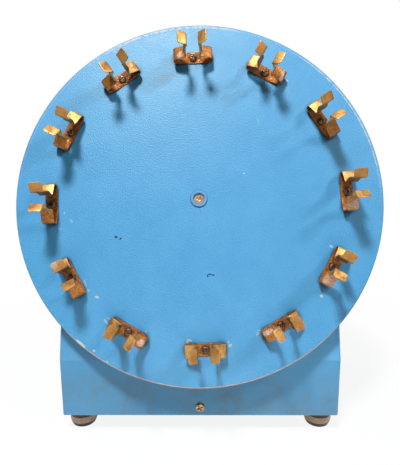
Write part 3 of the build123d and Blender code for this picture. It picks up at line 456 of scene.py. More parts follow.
def mottle_group(name):
    """Mottling: two colours mixed by broad noise, with a finer noise on top."""
    given, result = begin_group(
        name, "Color", "Color", Vector=["Vector"], Color=["First", "Second"],
        Float=["Scale", "Fine Scale", "Contrast"],
    )
    broad = noise(given["Vector"], given["Scale"], 5.0, 0.6)
    fine = noise(given["Vector"], given["Fine Scale"], 3.0, 0.6)
    centred = broad * 0.6 + fine * 0.4 - 0.5
    share = reckon("MULTIPLY_ADD", centred, given["Contrast"], 0.5, clamp=True)
    put(result, "Color", blend_colour(share, given["First"], given["Second"]))
    return result.id_data


def mottled(place, scale, fine_scale, first, second):
    """Two enamel colours from the shared group, strongly mottled."""
    return use_group(place.tree, "Mottle", mottle_group, {
        "Vector": place, "Scale": scale, "Fine Scale": fine_scale, "First": (*first, 1.0),
        "Second": (*second, 1.0), "Contrast": 3.0,
    })


def mark_group(name):
    """A ragged mark: its strength where the distance from its middle is under its size, else zero.

    The distance is a share of the half size, warped by noise, and a finer noise leaves flecks out.
    """
    given, result = begin_group(
        name, "Mask", "Float", Vector=["Vector", "Place", "Half Size"],
        Float=["Turn", "Ragged", "Strength"],
    )
    offset = reckon_vector("SUBTRACT", given["Vector"], given["Place"])
    turned = field(
        offset.tree, "VectorRotate", "Vector",
        {"Vector": offset, "Angle": given["Turn"]}, rotation_type="Z_AXIS",
    )
    scaled = reckon_vector("DIVIDE", turned, given["Half Size"])
    flat = reckon_vector("MULTIPLY", scaled, (1.0, 1.0, 0.0))
    reach = reckon_vector("LENGTH", flat, output="Value")
    warp = (noise(given["Vector"], 900.0, 4.0, 0.7) - 0.5) * given["Ragged"]
    flecks = noise(given["Vector"], 1700.0, 3.0, 0.6).step(0.52, 0.4, 0.0, 0.42)
    kept = 1.0 - flecks * given["Ragged"]
    put(result, "Mask", (reach + warp).step(1.05, 0.8) * kept * given["Strength"])
    return result.id_data


def marks_mask(face, marks):
    """The greatest of several marks' masks, each from the shared group."""
    mask = None
    for (right, up), (half_wide, half_high), turn, ragged, strength in marks:
        one = use_group(face.tree, "Mark", mark_group, {
            "Vector": face, "Place": (right * MM, up * MM, 0.0),
            "Half Size": (half_wide * MM, half_high * MM, 1.0), "Turn": math.radians(turn),
            "Ragged": ragged, "Strength": strength,
        })
        mask = mask.greatest(one) if mask else one
    return mask


def gap_group(name):
    """Painted shade in gaps: one deep in corners that other surfaces close off, zero in the open.
    """
    given, result = begin_group(name, "Mask", "Float", Float=["Distance", "Open", "Closed"])
    shade = field(
        result.id_data, "AmbientOcclusion", "AO", {"Distance": given["Distance"]},
        samples=8,
    )
    put(result, "Mask", shade.step(given["Open"], given["Closed"]))
    return result.id_data


def gap_shade(tree, distance, opened, closed):
    """The share of painted shade in a gap, from the shared group."""
    return use_group(tree, "Gaps", gap_group, {
        "Distance": distance, "Open": opened, "Closed": closed,
    })


# ------------------------------------------------------------------ materials
def begin_material(name, **constants):
    """A material with a Principled shader; returns it, its shader and Object coordinates."""
    material = bpy.data.materials.new(name)
    material.use_nodes = True
    shader = material.node_tree.nodes["Principled BSDF"]
    for key, value in constants.items():
        put(shader, key.replace("_", " "), value)
    return material, shader, object_place(material.node_tree)


def add_bump(shader, height, distance, strength=1.0):
    """Feed a height, as a share of a distance, to the shader's normal."""
    put(shader, "Normal", field(shader.id_data, "Bump", "Normal", {
        "Height": height, "Distance": distance, "Strength": strength,
    }))


def disc_space(place):
    """Object coordinates turned into the disc's own: right, up along the face, and outward."""
    return field(
        place.tree, "Mapping", "Vector",
        {
            "Vector": place, "Location": tuple(DISC_CENTRE),
            "Rotation": (math.pi / 2 - DISC_TILT, 0.0, 0.0),
        },
        vector_type="TEXTURE",
    )


# Marks on the disc's face, in millimetres to the right of and above its middle: place, half
# sizes, turn in degrees, how ragged and how strong.
PALE_MARKS = (
    ((-9.6, -116.4), (1.3, 2.6), 15, 1.8, 0.9),
    ((-7.4, -114.9), (2.0, 1.0), 20, 1.8, 0.8),
    ((24.4, -118.8), (2.0, 1.3), -35, 1.8, 0.9),
    ((23.4, -116.2), (0.9, 1.0), 0, 1.6, 0.7),
    ((46.5, -109.8), (1.0, 2.2), 35, 1.8, 0.8),
    ((48.4, -107.6), (1.6, 0.8), 25, 1.6, 0.7),
    ((-90.0, -75.0), (1.5, 0.9), 30, 1.7, 0.7),
    ((-83.0, -80.5), (1.9, 1.2), 10, 1.8, 0.9),
    ((-92.6, -69.5), (0.7, 3.2), -20, 1.8, 0.5),
    ((-75.2, -100.2), (0.9, 2.8), -38, 1.8, 0.8),
    ((-72.6, -97.7), (1.6, 0.7), 40, 1.6, 0.6),
    ((-42.8, -108.1), (1.0, 1.0), 0, 1.6, 0.6),
    ((98.4, -79.9), (1.2, 1.5), -20, 1.5, 0.9),
    ((107.5, -40.0), (2.2, 1.2), 20, 1.9, 0.6),
    ((-111.5, -11.4), (0.9, 1.4), 15, 1.8, 0.3),
    ((-105.6, -18.2), (0.8, 1.9), -35, 1.8, 0.4),
    ((-114.5, -24.9), (1.6, 0.8), 20, 1.8, 0.35),
    ((74.8, 102.0), (0.9, 2.2), -35, 1.8, 0.7),
    ((-44.7, 37.4), (0.5, 0.4), 0, 0.6, 0.8),
    ((37.5, 21.1), (0.6, 0.5), 0, 0.6, 0.9),
    ((50.0, 65.5), (0.25, 3.8), -8, 0.5, 0.5),
    ((56.8, 97.7), (0.5, 3.8), -4, 1.4, 0.6),
    ((-95.3, -117.3), (5.6, 1.25), 39, 0.8, 1.0),
    ((-84.4, -122.8), (1.3, 1.2), 32, 1.6, 0.7),
    ((-73.6, -131.5), (1.4, 0.6), 32, 1.1, 0.7),
)
DARK_MARKS = (
    ((-68.3, -31.5), (1.5, 0.95), 15, 0.35, 1.0),
    ((-64.6, -32.9), (1.2, 0.7), -35, 0.3, 1.0),
    ((6.9, -63.5), (0.65, 1.2), 0, 0.3, 1.0),
    ((8.7, -62.3), (1.6, 0.6), 10, 0.2, 1.0),
    ((11.4, -62.8), (1.4, 0.6), 0, 0.2, 1.0),
    ((-31.0, 103.0), (12.0, 5.0), -25, 2.2, 0.2),
    ((-41.0, 96.0), (8.0, 4.0), -30, 2.4, 0.16),
    ((22.8, 87.0), (5.0, 2.4), -25, 2.2, 0.17),
    ((39.2, 88.6), (4.0, 2.2), -30, 2.2, 0.16),
)


def disc_enamel(paint):
    """Gloss enamel with orange peel, a worn rim along one arc, chips, scuffs, a painted rim
    highlight and painted shade.
    """
    material, shader, place = begin_material("Disc_Enamel", Specular_Tint=(1.0, 0.86, 0.4, 1.0))
    face = disc_space(place)
    right, up = face.part("X"), face.part("Y")
    reach = reckon("SQRT", right * right + up * up)
    breakup = noise(face, 260.0, 5.0, 0.7)
    rim_edge = breakup * (0.9 * MM) + (DISC_RADIUS - 1.75 * MM)
    worn = (reach - rim_edge).step(-0.1 * MM, 0.15 * MM) * up.step(-98 * MM, -114 * MM)
    # Painted highlight: a pale line just inside the rim down the sides and a pale band under the
    # top of the rim, where the rounded edge catches the lamp overhead.
    from_ridge = reckon("ABSOLUTE", reach - (DISC_RADIUS - 2.3 * MM))
    side_highlight = from_ridge.step(0.75 * MM, 0.25 * MM) * up.step(-10 * MM, 40 * MM)
    side_highlight = side_highlight * right.step(70 * MM, 110 * MM, 0.15, 1.0)
    top_highlight = up.step(110 * MM, 142 * MM) * right.step(50 * MM, 5 * MM)
    top_highlight = top_highlight * from_ridge.step(1.7 * MM, 0.4 * MM)
    rim_highlight = side_highlight.greatest(top_highlight) * breakup.step(0.36, 0.56)
    # The pale mask holds real residue marks and, at three quarters strength, the painted rim
    # highlight.
    pale = marks_mask(face, PALE_MARKS).greatest(rim_highlight * 0.75)
    colour = mottled(face, 30.0, 620.0, paint.disc_low, paint.disc)
    colour = blend_colour(worn, colour, paint.bare_metal)
    colour = blend_colour(pale * 0.85, colour, paint.chip)
    colour = blend_colour(marks_mask(face, DARK_MARKS), colour, paint.scuff)
    # Painted shade: near-black blue where the clips close off the disc, and a thin dark line on the
    # underside of the rounded rim, except along the worn arc.
    closed = gap_shade(face.tree, 6 * MM, 0.9, 0.45) * 0.9
    rim_shade = reach.step(DISC_RADIUS - 0.9 * MM, DISC_RADIUS - 0.3 * MM, 0.0, 0.55)
    colour = blend_colour(closed.greatest(rim_shade * (1.0 - worn)), colour, paint.gap)
    put(shader, "Base Color", colour)
    gloss = noise(face, 22.0, 5.0, 0.65).step(0.3, 0.7, 0.40, 0.5)
    put(shader, "Roughness", pale * 0.3 + gloss)
    put(shader, "Metallic", worn * 0.8)
    peel = noise(face, 1.0 / paint.peel, 2.5, 0.5)
    add_bump(shader, peel + pale * 0.6 - worn * 0.5, 0.3 * MM)
    return material


def housing_enamel(paint):
    """The same enamel on sheet metal, duller, with worn bends and dirt low down."""
    material, shader, place = begin_material("Housing_Enamel")
    low = place.part("Z").step(64 * MM, 34 * MM)
    patches = noise(place, 26.0, 5.0, 0.65).step(0.4, 0.72)
    flecks = noise(place, 330.0, 3.0, 0.6).step(0.56, 0.68)
    dirt = (low * (patches * 0.5 + 0.08)).greatest(flecks * (low * 0.22 + 0.04))
    colour = mottled(place, 24.0, 520.0, tone(paint.housing, 0.9), paint.housing)
    colour = blend_colour(dirt, colour, paint.grime)
    colour = blend_colour(worn_edges(place, 1.2 * MM, 210.0, 0.12) * 0.6, colour, paint.chip)
    put(shader, "Base Color", colour)
    gloss = noise(place, 18.0, 4.0, 0.6).step(0.3, 0.7, 0.36, 0.5)
    put(shader, "Roughness", dirt * 0.4 + gloss)
    add_bump(shader, noise(place, 1.0 / paint.peel, 2.5, 0.5), 0.05 * MM, 0.9)
    return material


# Shoulders rubbed pale: hour, tangential and radial place from the screw, and half sizes, in mm.
WORN_PLACES = (
    (3, (12.5, 1.0), (5.6, 5.4)), (4, (12.5, 0.5), (5.8, 5.6)), (5, (12.0, -3.0), (4.6, 2.4)),
    (7, (-13.2, 1.0), (3.2, 3.4)), (11, (12.0, 2.0), (1.2, 2.0)), (12, (-10.6, -2.0), (3.0, 3.2)),
    (1, (14.4, -1.0), (1.6, 4.4)),
)
WORN_TIPS = ((8, (11.4, -1.4), (3.2, 3.2)),)


def worn_marks(places):
    """Worn places as marks on the disc's face: place, half sizes, turn, ragged, strength."""
    for hour, (sideways, outer), half_size in places:
        foot, radial, tangential, _ = clip_axes(hour)
        place = foot - DISC_CENTRE + (sideways * tangential + outer * radial) * MM
        right, up = place @ DISC_RIGHT / MM, place @ DISC_UP / MM
        lie = math.degrees(math.atan2(tangential @ DISC_UP, tangential @ DISC_RIGHT))
        yield (right, up), half_size, -lie, 1.8, 1.0


def lower_half(face):
    """One on the half of each clip that lies lower on the disc, zero on its upper half.

    With the turn round the disc taken from the nearest clip's own, the sideways distance from a
    clip's middle is the reach times that turn's sine. Its product with the distance to the right
    of the disc's middle is positive on the lower half, on both sides of the disc.
    """
    right, up = face.part("X"), face.part("Y")
    turn = reckon("ARCTAN2", right, up) + CLIP_LEAD
    own = reckon("WRAP", turn, math.radians(15), math.radians(-15))
    sideways = reckon("SINE", own) * CLIP_CIRCLE
    return (sideways * right).step(-30 * MM * MM, 60 * MM * MM)


def clip_finish(clips):
    """Plated spring strip gone brassy: bright worn edges, brown tarnish and orange rust, with
    painted shade on the upper jaws, the lower shoulders and deep in the bends.
    """
    material, shader, place = begin_material("Clip_Bronze", Metallic=1.0)
    face = disc_space(place)
    out, lower = face.part("Z"), lower_half(face)
    broad = noise(place, 110.0, 5.0, 0.65, 0.4)
    fine = noise(place, 900.0, 4.0, 0.65)
    on_jaw = out.step(11 * MM, 15 * MM)
    on_shoulder = 1.0 - on_jaw
    shaded_shoulder = on_shoulder * lower
    colour = blend_colour(broad.step(0.38, 0.62), clips.gold, clips.bronze)
    # Painted shade: the upper jaws and the lower shoulders face away from the lamp overhead, so
    # they are toned to bronze and dull brown.
    colour = blend_colour(on_jaw * (1.0 - lower) * 0.7, colour, clips.bronze)
    colour = blend_colour(shaded_shoulder * 0.85, colour, clips.dull)
    pits = fine.step(0.54, 0.68) * broad.step(0.46, 0.62, 0.15, 0.85)
    specks = shaded_shoulder * fine.step(0.46, 0.62, 0.0, 0.7)
    colour = blend_colour(pits.greatest(specks), colour, clips.brown)
    near_seat = out.step(8 * MM, 1.5 * MM, 0.06, 0.95)
    rust_spots = noise(place, 210.0, 5.0, 0.7).step(0.58, 0.7) * 0.5
    rust = (near_seat * fine.step(0.34, 0.56)).greatest(rust_spots)
    colour = blend_colour(rust, colour, clips.rust)
    scorched = near_seat * noise(place, 480.0, 4.0, 0.65).step(0.5, 0.62, 0.0, 0.8)
    colour = blend_colour(scorched, colour, tone(clips.brown, 0.4))
    above_seat = out.step(1.5 * MM, 4 * MM) * on_shoulder
    rubbed = marks_mask(face, worn_marks(WORN_PLACES)) * above_seat
    rubbed = rubbed.greatest(marks_mask(face, worn_marks(WORN_TIPS)) * on_jaw)
    rubbed = rubbed * noise(place, 420.0, 4.0, 0.7).step(0.4, 0.54, 0.35, 1.0)
    colour = blend_colour(rubbed, colour, clips.worn)
    bright = worn_edges(place, 0.45 * MM, 700.0, 0.45) * 0.75
    colour = blend_colour(bright, colour, tone(clips.gold, 0.5, 0.42))
    # Painted shade: brown deep in the bends and under the jaws, where other surfaces close off the
    # strip, strongest on each clip's upper half.
    closed = gap_shade(place.tree, 20 * MM, 0.9, 0.5) * (lower * -0.6 + 0.95)
    put(shader, "Base Color", blend_colour(closed, colour, tone(clips.brown, 0.25)))
    dull = rust.greatest(rubbed)
    put(shader, "Metallic", dull * -0.55 + 0.65)
    put(shader, "Roughness", dull * 0.3 + fine.step(0.3, 0.7, 0.36, 0.54))
    hammered = noise(place, 330.0, 2.0, 0.5)
    add_bump(shader, rust * 0.5 + fine * 0.5 + hammered * 0.9, 0.10 * MM, 0.8)
    return material


def worn_metal(name, base, dark, roughness, scale=300.0, stain=0.5, gap=0.0):
    """Plain metal fitting: blotches of a darker tone, fine scratches and brighter edges."""
    material, shader, place = begin_material(name, Metallic=1.0)
    blotch = noise(place, scale, 5.0, 0.65).step(0.42, 0.7, 0.0, stain)
    bright = worn_edges(place, 0.3 * MM, 800.0, 0.3) * 0.5
    colour = blend_colour(bright, blend_colour(blotch, base, dark), tone(base, 0.6, 0.4))
    # Painted shade: near-black where other surfaces close off the metal, round a screw's head.
    if gap:
        colour = blend_colour(gap_shade(place.tree, gap, 0.7, 0.4), colour, (0.01, 0.008, 0.006))
    put(shader, "Base Color", colour)
    scratches = noise(place, scale * 4, 3.0, 0.6)
    put(shader, "Roughness", scratches.step(0.3, 0.7, roughness * 0.8, roughness * 1.3))
    add_bump(shader, scratches, 0.02 * MM, 0.6)
    return material


def brushed_metal(name, base, roughness):
    """Drawn or ground metal: noise stretched along the grain moves tone, gloss and height."""
    material, shader, place = begin_material(name, Metallic=1.0)
    along = field(
        place.tree, "Mapping", "Vector", {"Vector": place, "Scale": (1.0, 14.0, 14.0)}
    )
    grain = noise(along, 260.0, 4.0, 0.7)
    put(shader, "Base Color", blend_colour(grain.step(0.35, 0.65), tone(base, 0.72), base))
    put(shader, "Roughness", grain.step(0.3, 0.7, roughness * 0.8, roughness * 1.3))
    add_bump(shader, grain, 0.01 * MM, 0.5)
    return material


def moulded_plastic(name, base, roughness, grain_size, dust=0.15, depth=0.02):
    """Moulded plastic: fine spark-eroded grain, slight tone drift and dust in the hollows."""
    material, shader, place = begin_material(name)
    drift = noise(place, 45.0, 4.0, 0.6)
    colour = blend_colour(drift.step(0.35, 0.65), tone(base, 0.82), base)
    settled = noise(place, 160.0, 5.0, 0.7).step(0.5, 0.8, 0.0, dust)
    put(shader, "Base Color", blend_colour(settled, colour, (0.42, 0.38, 0.33)))
    put(shader, "Roughness", drift.step(0.3, 0.7, roughness * 0.85, roughness * 1.15))
    add_bump(shader, noise(place, 1.0 / grain_size, 2.0, 0.5), depth * MM, 0.8)
    return material


def foot_plastic(fittings):
    """The feet's taupe plastic, with a painted shadow under the housing and black along the foot's
    lower rim.
    """
    material = moulded_plastic("Foot_Plastic", fittings.foot, 0.42, 0.5 * MM, 0.12, 0.03)
    shader = material.node_tree.nodes["Principled BSDF"]
    clean = Field(shader.inputs["Base Color"].links[0].from_socket)
    height = object_place(clean.tree).part("Z")
    rim = height.step(4.4 * MM, 3.4 * MM)
    # Painted shadow: near-black at the top of the foot, where the housing sits on it.
    contact_shadow = height.step(8.8 * MM, 10.0 * MM, 0.0, 0.95)
    put(shader, "Base Color", blend_colour(rim.greatest(contact_shadow), clean, fittings.rubber))
    return material


def wound_copper():
    """Enamelled wire: turns of wire as fine ribs round the motor's axis, with painted shade between
    the turns.
    """
    material, shader, place = begin_material("Winding_Copper", Roughness=0.32, Metallic=0.9)
    turns = reckon("FRACT", disc_space(place).part("Z") * (1.0 / WIRE_PITCH))
    rib = 1.0 - reckon("ABSOLUTE", turns * 2.0 - 1.0)
    drift = noise(place, 220.0, 4.0, 0.6).step(0.35, 0.7)
    colour = blend_colour(drift, linear(206, 122, 62), linear(150, 78, 40))
    # Painted shade: darker brown in the grooves between turns.
    put(shader, "Base Color", blend_colour(rib.step(0.5, 0.0), colour, linear(70, 34, 18)))
    add_bump(shader, rib, 0.1 * MM)
    return material


# ------------------------------------------------------------------ shapes
# Half of a clip's bent strip in millimetres, from its seat to its tip: sideways and outward place
# of each corner, and the radius of each bend.
CLIP_CORNERS = (
    (0.0, 0.4), (5.2, 0.4), (15.9, 2.6), (15.9, 7.9), (5.7, 12.0), (8.1, 20.6), (4.6, 28.6),
    (11.1, 33.2),
)
CLIP_RADII = (14.0, 1.9, 1.9, 1.3, 12.0, 1.3)
PATH_STEP = 0.55 * MM

# How years of use have bowed every jaw: the spread and the most of it, sideways and in height.
BOW_SPREAD, BOW_LIMIT = 0.25 * MM, 0.4 * MM
HEIGHT_SPREAD, HEIGHT_LIMIT = 0.15 * MM, 0.25 * MM

# How years of use have set each clip: its turn on its screw in degrees, how far its jaws lean
# outward along the disc's radius and sideways, per millimetre of height, and its height's share.
CLIP_SETS = {
    1: (0.8, 0.006, -0.033, 0.996), 2: (-0.6, 0.01, -0.02, 1.0), 3: (-0.8, 0.016, -0.012, 1.03),
    4: (1.0, -0.02, -0.02, 0.98), 5: (1.7, -0.039, -0.041, 0.957), 6: (0.6, -0.02, 0.042, 0.958),
    7: (2.0, 0.0, 0.012, 1.02), 8: (3.4, -0.129, 0.053, 0.909), 9: (0.2, 0.032, 0.034, 1.0),
    10: (-1.1, -0.004, -0.06, 1.0), 11: (-2.3, 0.004, -0.004, 0.981), 12: (-0.4, 0.006, 0.0, 1.02),
}
# A clip leans above this height, and its tips' corners have this radius.
LEAN_START = 6.0 * MM
TIP_ROUNDING = 1.6 * MM

# Distance between turns of the coil's wire, and the radius of the face at each end of a screw.
WIRE_PITCH = 0.22 * MM
POLE = 0.001 * MM

# Screws: head radius, height and edge radius, then shank radius and length.
CLIP_SCREW = (3.1 * MM, 2.0 * MM, 1.5 * MM), (1.71 * MM, 8.6 * MM)
CASE_SCREW = (4.0 * MM, 2.35 * MM, 1.7 * MM), (1.96 * MM, 9.0 * MM)
LONG_SCREW = (4.0 * MM, 2.35 * MM, 1.7 * MM), (1.96 * MM, 13.5 * MM)
INLET_SCREW = (2.9 * MM, 1.8 * MM, 1.3 * MM), (1.46 * MM, 7.0 * MM)

# Where the screws sit: on the housing, in the inlet's flange, under the feet and in the gear posts.
# HEAD_STANDS and INLET_STANDS are how far the CAD's case screws and the flange stand off the sheet.
HEAD_STANDS = 2.6 * MM
MIDDLE_SCREW_Z = 25 * MM
CORNER_SCREWS_X = (-111 * MM, 111 * MM)
CORNER_SCREWS_Z = (36.5 * MM, 242.5 * MM)
INLET_SCREWS_X = (52 * MM, 92 * MM)
INLET_Z = 50 * MM
INLET_STANDS = 3 * MM
FEET_X = (-105 * MM, 105 * MM)
FEET_Y = (-62.6 * MM, 100.4 * MM)
FOOT_SCREWS_Z = 9 * MM
POSTS_X = (-44 * MM, 44 * MM)
POSTS_UP = (-56 * MM, 24 * MM)
POST_SCREWS_OUT = -15 * MM


def clip_strip(hour, clips, rng):
    """One spring clip: a rounded rectangle carried along the bent strip from tip to tip.

    The half profile is a polyline with rounded corners, given as (tangential, outward). Each jaw
    gets a slightly different bow, as springs that have held tubes for years do. A station's
    normal is its tangent turned a quarter, so the section's thickness stays square to the strip.
    Near a tip the width is inset as a circle is from its tangent. The finished strip leans and is
    turned as a whole.
    """
    halves = []
    for side in (-1, 1):
        corners = np.array(CLIP_CORNERS) * MM
        corners[5:, 0] += np.clip(rng.normal(0.0, BOW_SPREAD, 3), -BOW_LIMIT, BOW_LIMIT)
        corners[7, 1] += np.clip(rng.normal(0.0, HEIGHT_SPREAD), -HEIGHT_LIMIT, 0.0)
        half = rounded_path(corners, [radius * MM for radius in CLIP_RADII], PATH_STEP)
        halves.append(half * (side, 1))
    path = np.concatenate((halves[0][::-1], halves[1][1:]))
    along = lengths_along(path)
    near_tip = TIP_ROUNDING * np.array((0.03, 0.12, 0.27, 0.47, 0.7, 1.0))
    stations = np.unique(np.concatenate((along, near_tip, along[-1] - near_tip)))
    path = points_at(path, stations)
    tangent = np.gradient(path, axis=0)
    tangent /= np.linalg.norm(tangent, axis=1)[:, None]
    normal = np.stack((-tangent[:, 1], tangent[:, 0]), axis=1)
    section = rounded_section(clips.width, clips.strip, clips.edge)
    to_tip = np.clip(np.minimum(stations, stations[-1] - stations), 0, TIP_ROUNDING)
    inset = TIP_ROUNDING - np.sqrt(TIP_ROUNDING**2 - (TIP_ROUNDING - to_tip) ** 2)
    narrowed = 1 - inset / (clips.width / 2)
    lift = path[:, None, :] + section[None, :, 1, None] * normal[:, None, :]
    turn, lean_out, lean_side, tall = CLIP_SETS[hour]
    turn = math.radians(turn)
    high = np.clip(lift[..., 1] - LEAN_START, 0, None)
    across = section[None, :, 0] * narrowed[:, None] + lean_out * high
    sideways = lift[..., 0] + lean_side * high
    foot, radial, tangential, outward = clip_axes(hour)
    points = (
        foot + (math.cos(turn) * across - math.sin(turn) * sideways)[..., None] * radial
        + (math.sin(turn) * across + math.cos(turn) * sideways)[..., None] * tangential
        + (lift[..., 1] * np.where(lift[..., 1] > 1 * MM, tall, 1.0))[..., None] * outward
    )
    rows, columns = points.shape[:2]
    quads = grid_quads(rows, columns, wrap=True)
    first, last = end_rows(rows, columns)
    return points, quads, [first, last[::-1]]


def turned_surface(place, axis, across, radius, height, turn):
    """Points at a radius and a height over turn, round an axis that starts at place."""
    up = np.cross(axis, across)
    return (
        np.asarray(place) + (radius * np.cos(turn))[..., None] * np.asarray(across)
        + (radius * np.sin(turn))[..., None] * up + height[..., None] * np.asarray(axis)
    )


def screw_surface(place, axis, across, head, shank, turn, pitch=0.7 * MM):
    """A pan-head screw as radius and height over turn: shank, thread, head and cross recess.

    head is (radius, height, edge radius) and shank is (radius, length) in metres; the head is
    seated at place with its top along axis. Thread: the shank's radius drops by a triangle wave
    of height over pitch minus turn. Head: its edge bends through 80 degrees, and its crown rises
    by one less the square of the radius. Recess: two crossed slots sink the crown, deepest in
    the middle, where the lesser of the two side distances is under half a slot's width.
    """
    head_radius, head_height, edge_radius = head
    shank_radius, length = shank
    thread = np.linspace(-length + 0.3 * MM, -POLE, max(8, int(length / pitch * 5)))
    bends = np.radians(np.linspace(0, 80, 7))
    edge = head_radius - edge_radius * (1 - np.cos(bends))
    crown = np.linspace(edge[-1], POLE, 15)[1:]
    bulge = 0.10 * (1 - (crown / edge[-1]) ** 2)
    radius = np.concatenate((
        (POLE, shank_radius * 0.6), np.full(len(thread) + 1, shank_radius),
        (head_radius - 0.05 * MM, head_radius), edge, crown,
    ))[:, None]
    height = np.concatenate((
        (-length, -length), thread, (0.0, 0.0, 0.05 * MM),
        head_height - edge_radius * (1 - np.sin(bends)),
        head_height - edge_radius * (1 - math.sin(bends[-1]) - bulge),
    ))[:, None]
    row = np.arange(len(radius))[:, None]
    threaded = (row >= 2) & (row < 2 + len(thread))
    columns = 56
    angle = np.linspace(0, 2 * math.pi, columns, endpoint=False)
    wave = np.abs(((height / pitch - angle / (2 * math.pi)) % 1.0) * 2 - 1)
    radius = radius - threaded * wave * 0.16 * MM
    reach = 0.62 * head_radius
    half_slot = 0.135 * head_radius * (1.15 - 0.4 * radius / reach)
    nearest = radius * np.minimum(np.abs(np.cos(angle)), np.abs(np.sin(angle)))
    inside = np.clip((half_slot - nearest) / (0.12 * MM) + 0.5, 0, 1)
    inside *= np.clip((reach - radius) / (0.25 * MM) + 0.5, 0, 1)
    depth = 0.62 * head_height * (1 - 0.45 * (radius / reach) ** 2)
    height = height - (row >= len(row) - len(crown)) * inside * depth
    first, last = end_rows(len(row), columns)
    points = turned_surface(place, axis, across, radius, height, angle + turn)
    return points, grid_quads(len(row), columns, wrap=True), [first[::-1], last]


def nut_surface(place, axis, across, flats, thickness, bore, turn):
    """A hexagon nut as radius over turn: the six flats meet a cone that bevels both rims.

    The side's radius is half the flats over the cosine of the turn from the nearest flat; near
    the faces a circle a little wider than the flats limits it. The bore is a plain tube, whose
    last row joins the first.
    """
    columns = 72
    angle = np.linspace(0, 2 * math.pi, columns, endpoint=False)
    from_flat = (angle + math.pi / 6) % (math.pi / 3) - math.pi / 6
    limits = flats / 2 * np.array((1.0, 1.07, 1.155, 1.155, 1.07, 1.0))[:, None]
    sides = np.minimum(flats / 2 / np.cos(from_flat), limits)
    bevel = 0.35 * MM * np.array((0.0, 0.5, 1.0))
    radius = np.concatenate((sides, np.full((2, columns), bore)))
    height = np.concatenate((bevel, thickness - bevel[::-1], (thickness, 0.0)))[:, None]
    points = turned_surface(place, axis, across, radius, height, angle + turn)
    return points, grid_quads(len(radius) + 1, columns, wrap=True) % radius.size, []


# ------------------------------------------------------------------ operators
def dress(material, *names):
    """Give CAD nodes a material."""
    for name in names:
        node = frame["nodes"][name]
        if not node.material_slots:
            node.data.materials.append(material)
        for slot in node.material_slots:
            slot.material = material


def screws_at(places, axis, screw, rng, pitch=0.7 * MM):
    """Screws of one kind at several places, each stopped at a turn of its own."""
    return [
        screw_surface(place, axis, DISC_RIGHT, *screw, rng.uniform(0, math.pi), pitch)
        for place in places
    ]


def screw_finish(name, colour, *settings):
    """A screw's metal in a colour of the screws' settings, made once."""
    base = getattr(bpy.context.scene.rotator_screws, colour)
    return bpy.data.materials.get(name) or worn_metal(name, base, *settings)


def zinc():
    """Zinc plate."""
    return screw_finish("Zinc_Plate", "plated", linear(120, 116, 106), 0.34)


def tarnished():
    """Steel gone brown, with painted shade round the head."""
    dark = linear(64, 42, 26)
    return screw_finish("Tarnished_Screw", "tarnished", dark, 0.48, 420.0, 0.85, 1.0 * MM)


def brass():
    """Dull brass, with painted shade round the head."""
    dark = linear(104, 72, 44)
    return screw_finish("Brass_Screw", "brass", dark, 0.42, 420.0, 0.85, 1.2 * MM)


class ROTATOR_OT_enamel(bpy.types.Operator):
    """Paint the disc, the hub and the housing's sheet metal"""

    bl_idname = "rotator.enamel"
    bl_label = "Paint Enamel"

    def execute(self, context):
        paint = context.scene.rotator_paint
        dress(disc_enamel(paint), "disc", "disc_hub")
        dress(housing_enamel(paint), "housing_shell", "rear_panel", "base_plate")
        return {"FINISHED"}


class ROTATOR_OT_clips(bpy.types.Operator):
    """Make the twelve spring clips as bent strips with rounded edges"""

    bl_idname = "rotator.clips"
    bl_label = "Make Clips"

    def execute(self, context):
        clips = context.scene.rotator_clips
        material = clip_finish(clips)
        rng = np.random.default_rng(12)
        for hour in CLIP_HOURS:
            make_piece(
                f"clip_strip_{hour:02d}", clip_strip(hour, clips, rng), material, BODY_DISC,
                f"clip_{hour:02d}", 50.0,
            )
        return {"FINISHED"}


class ROTATOR_OT_disc_screws(bpy.types.Operator):
    """Make the clips' screws with cross recesses and threads, and their bevelled nuts"""

    bl_idname = "rotator.disc_screws"
    bl_label = "Make Disc Screws"

    def execute(self, context):
        rng = np.random.default_rng(5)
        screws, nuts = [], []
        for hour in CLIP_HOURS:
            foot, radial, tangential, outward = clip_axes(hour)
            screws.append(screw_surface(
                foot + 0.8 * MM * outward, outward, radial, *CLIP_SCREW, rng.uniform(0, math.pi),
                0.6 * MM,
            ))
            nuts.append(nut_surface(
                foot - 4.0 * MM * outward, -outward, radial, 7.9 * MM, 2.8 * MM, 1.75 * MM,
                rng.uniform(0, math.pi),
            ))
        make_piece(
            "clip_screw_set", join_surfaces(screws), tarnished(), BODY_DISC, "clip_screws",
        )
        make_piece(
            "clip_nut_set", join_surfaces(nuts), zinc(), BODY_DISC, "clip_nuts", 25.0
        )
        dress(zinc(), "clip_washers", "hub_set_screw", "cross_pin")
        return {"FINISHED"}


